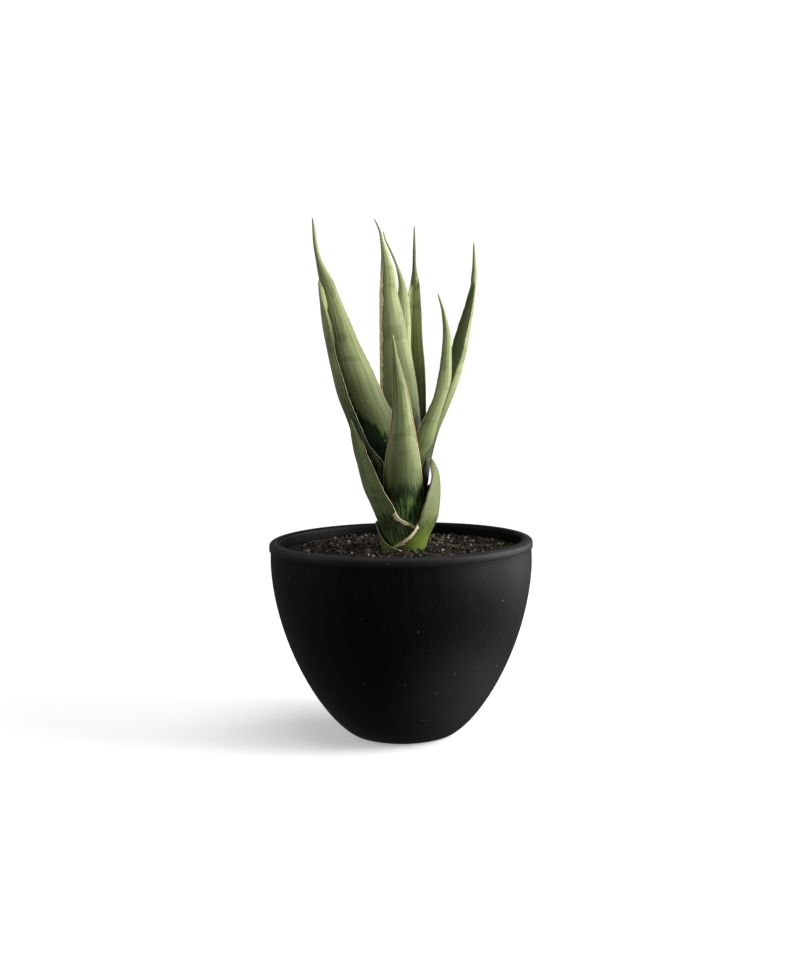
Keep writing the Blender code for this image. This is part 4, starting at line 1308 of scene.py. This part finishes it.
    def build_fibres(self, rng: np.random.Generator) -> None:
        """Lays thin bent fibres on the crumbs as one piece."""
        points, faces, shades, start = [], [], [], 0
        sides, joints = self.fibre_sides, self.fibre_joints
        for x, y in self.scatter(rng, self.fibres):
            heading, length = rng.uniform(0.0, math.tau), rng.uniform(2.5, 8.0)
            thick, bend = rng.uniform(0.06, 0.14), rng.uniform(-0.35, 0.35)
            path = []
            for joint in range(joints):
                lift = self.surface(x, y) + 0.55 + 0.35 * math.sin(joint * 1.3 + heading)
                path.append(Vector((x, y, lift)))
                heading += bend + rng.uniform(-0.25, 0.25)
                x, y = x + math.cos(heading) * length / joints, y + math.sin(heading) * length / joints
            out = math.hypot(path[-1].x, path[-1].y) > self.pot.lip_inner - 1.5
            clear = min(math.hypot(spot.x - self.centre.x, spot.y - self.centre.y) for spot in path)
            if out or clear < self.fibre_clearance:
                continue
            for joint, spot in enumerate(path):
                ahead = (path[min(joint + 1, joints - 1)] - path[max(joint - 1, 0)]).normalized()
                across = ahead.cross(Vector((0, 0, 1))).normalized()
                lift = across.cross(ahead)
                girth = thick * (0.35 if joint in (0, joints - 1) else 1.0)
                for side in range(sides):
                    angle = math.tau * side / sides
                    points.append((spot + (across * math.cos(angle) + lift * math.sin(angle)) * girth) * MM)
            for joint in range(joints - 1):
                for side in range(sides):
                    one = start + joint * sides + side
                    other = start + joint * sides + (side + 1) % sides
                    faces.append((one, other, other + sides, one + sides))
            faces.append(tuple(start + side for side in range(sides)))
            faces.append(tuple(start + (joints - 1) * sides + side for side in range(sides)))
            shades.append(np.full(sides * joints, rng.random()))
            start += sides * joints
        piece = self.strewn("coir_fibres_look", points, faces, np.concatenate(shades), 60.0)
        adopt(piece, self.finish.fibres(), "soil")

    @staticmethod
    def strewn(name: str, points: list, faces: list, shades: np.ndarray, sharp: float) -> bpy.types.Object:
        """Makes one piece of many loose grains.

        Args:
            name: the piece's name.
            points: corners of all grains, in metres.
            faces: the corners of each face.
            shades: one shade for each corner.
            sharp: edges steeper than this many degrees stay crisp.

        Returns:
            The piece, with its faces turned outwards.
        """
        mesh = bpy.data.meshes.new(name)
        mesh.from_pydata(points, [], faces)
        store(mesh, "shade", shades)
        piece = bpy.data.objects.new(name, mesh)
        bpy.context.scene.collection.objects.link(piece)
        deselect()
        piece.select_set(True)
        bpy.context.view_layer.objects.active = piece
        bpy.ops.object.mode_set(mode="EDIT")
        face_outwards()
        bpy.ops.object.shade_smooth_by_angle(angle=math.radians(sharp))
        return piece


# ---------------------------------------------------------------- studio
@dataclass(frozen=True)
class Softbox:
    """One area light. Place and aim in metres."""

    name: str
    place: Place
    width: float
    height: float
    power: float
    colour: Colour = (1.0, 1.0, 1.0)
    aim: Place = (0.0, 0.0, 0.13)

    def hang(self) -> None:
        """Puts the light up, facing its aim."""
        lamp = bpy.data.lights.new(self.name, "AREA")
        lamp.shape = "RECTANGLE"
        lamp.size, lamp.size_y = self.width, self.height
        lamp.energy = self.power
        lamp.color = self.colour
        made = bpy.data.objects.new(self.name, lamp)
        made.location = self.place
        made.rotation_euler = (Vector(self.aim) - Vector(self.place)).to_track_quat("-Z", "Y").to_euler()
        made.visible_camera = False
        bpy.context.scene.collection.objects.link(made)


@dataclass
class Studio:
    """Camera, pale floor, soft lights and the pale surroundings."""

    camera_place: Place = (0.00005, -0.600, 0.1743)
    pitch: float = 5.47
    roll: float = 0.95
    lens: float = 49.5
    ambient: float = 0.17
    backdrop: float = 1.06
    sky: Colour = (0.96, 0.98, 1.0)
    floor_radius: float = 0.75
    floor_tones: tuple[Colour, Colour] = ((0.90, 0.90, 0.90), (0.94, 0.94, 0.94))
    boxes: tuple[Softbox, ...] = (
        Softbox("key_right", (0.76, -0.20, 0.30), 0.40, 0.60, 11.5, (1.0, 0.985, 0.955)),
        Softbox("rim_right", (0.70, 0.30, 0.22), 0.4, 0.7, 4.5, (1.0, 0.99, 0.97)),
        Softbox("fill_left", (-0.80, -0.10, 0.42), 0.5, 0.7, 1.6),
        Softbox("top_fill", (0.10, -0.15, 0.95), 0.7, 0.7, 3.8),
    )

    def build(self) -> None:
        """Sets the studio up."""
        self.place_camera()
        self.lay_floor()
        for box in self.boxes:
            box.hang()
        self.surround()

    def place_camera(self) -> None:
        """Stands the camera a little above the leaves' middle, tilted slightly down."""
        data = bpy.data.cameras.new("camera")
        data.lens = self.lens
        data.sensor_width = 36.0
        data.clip_start, data.clip_end = 0.01, 50.0
        made = bpy.data.objects.new("camera", data)
        made.matrix_world = (Matrix.Translation(self.camera_place)
                             @ Matrix.Rotation(math.radians(90.0 - self.pitch), 4, "X")
                             @ Matrix.Rotation(math.radians(-self.roll), 4, "Z"))
        bpy.context.scene.collection.objects.link(made)
        bpy.context.scene.camera = made

    def lay_floor(self) -> None:
        """Lays a pale floor whose edge melts into the surroundings."""
        deselect()
        bpy.ops.mesh.primitive_circle_add(vertices=96, radius=self.floor_radius, fill_type="NGON",
                                          location=(0.0, 0.0, -0.0002))
        floor = bpy.context.object
        floor.name = "floor"
        bench = Bench("pale_floor", Specular_IOR_Level=0.15, Emission_Strength=0.35)
        x, y, _ = bench.place()
        cloudy = bench.noise(bench.point(x * 0.01, y * 0.01, 0.0), 2.0, 0.5)
        away = (x * x + y * y) ** 0.5
        reach = self.floor_radius / MM
        fade = 1.0 - away.smooth(reach * 0.30, reach * 0.92)
        colour = bench.mix(cloudy, *self.floor_tones)
        bench.tree.links.new(fade.socket, bench.shader.inputs["Alpha"])
        floor.data.materials.append(bench.finish(colour, 0.8 + cloudy * 0.05, cloudy, 0.01))
        floor.visible_glossy = False
        floor.visible_diffuse = False

    def surround(self) -> None:
        """A pale surround that is brighter to look at than to be lit by."""
        world = bpy.data.worlds.new("pale_surround")
        bpy.context.scene.world = world
        world.use_nodes = True
        tree = world.node_tree
        tree.nodes.clear()
        path = tree.nodes.new("ShaderNodeLightPath")
        lit, seen, mixed = (tree.nodes.new(kind) for kind in ("ShaderNodeBackground", "ShaderNodeBackground",
                                                              "ShaderNodeMixShader"))
        lit.inputs["Strength"].default_value = self.ambient
        lit.inputs["Color"].default_value = (*self.sky, 1.0)
        seen.inputs["Strength"].default_value = self.backdrop
        seen.inputs["Color"].default_value = (1.0, 1.0, 1.0, 1.0)
        out = tree.nodes.new("ShaderNodeOutputWorld")
        tree.links.new(path.outputs["Is Camera Ray"], mixed.inputs[0])
        tree.links.new(lit.outputs[0], mixed.inputs[1])
        tree.links.new(seen.outputs[0], mixed.inputs[2])
        tree.links.new(mixed.outputs[0], out.inputs[0])
        bpy.context.scene.view_settings.view_transform = "Standard"


def main() -> None:
    """Builds the studio, the pot, the plant and the potting mix."""
    logging.basicConfig(level=logging.INFO, format="%(name)s: %(message)s")
    Studio().build()
    pot = Pot()
    pot.build()
    leaves = snake_leaves()
    centre, level = Rosette(leaves).build()
    PottingMix(pot, leaves[:3], centre, level).build()


if __name__ == "__main__":
    main()
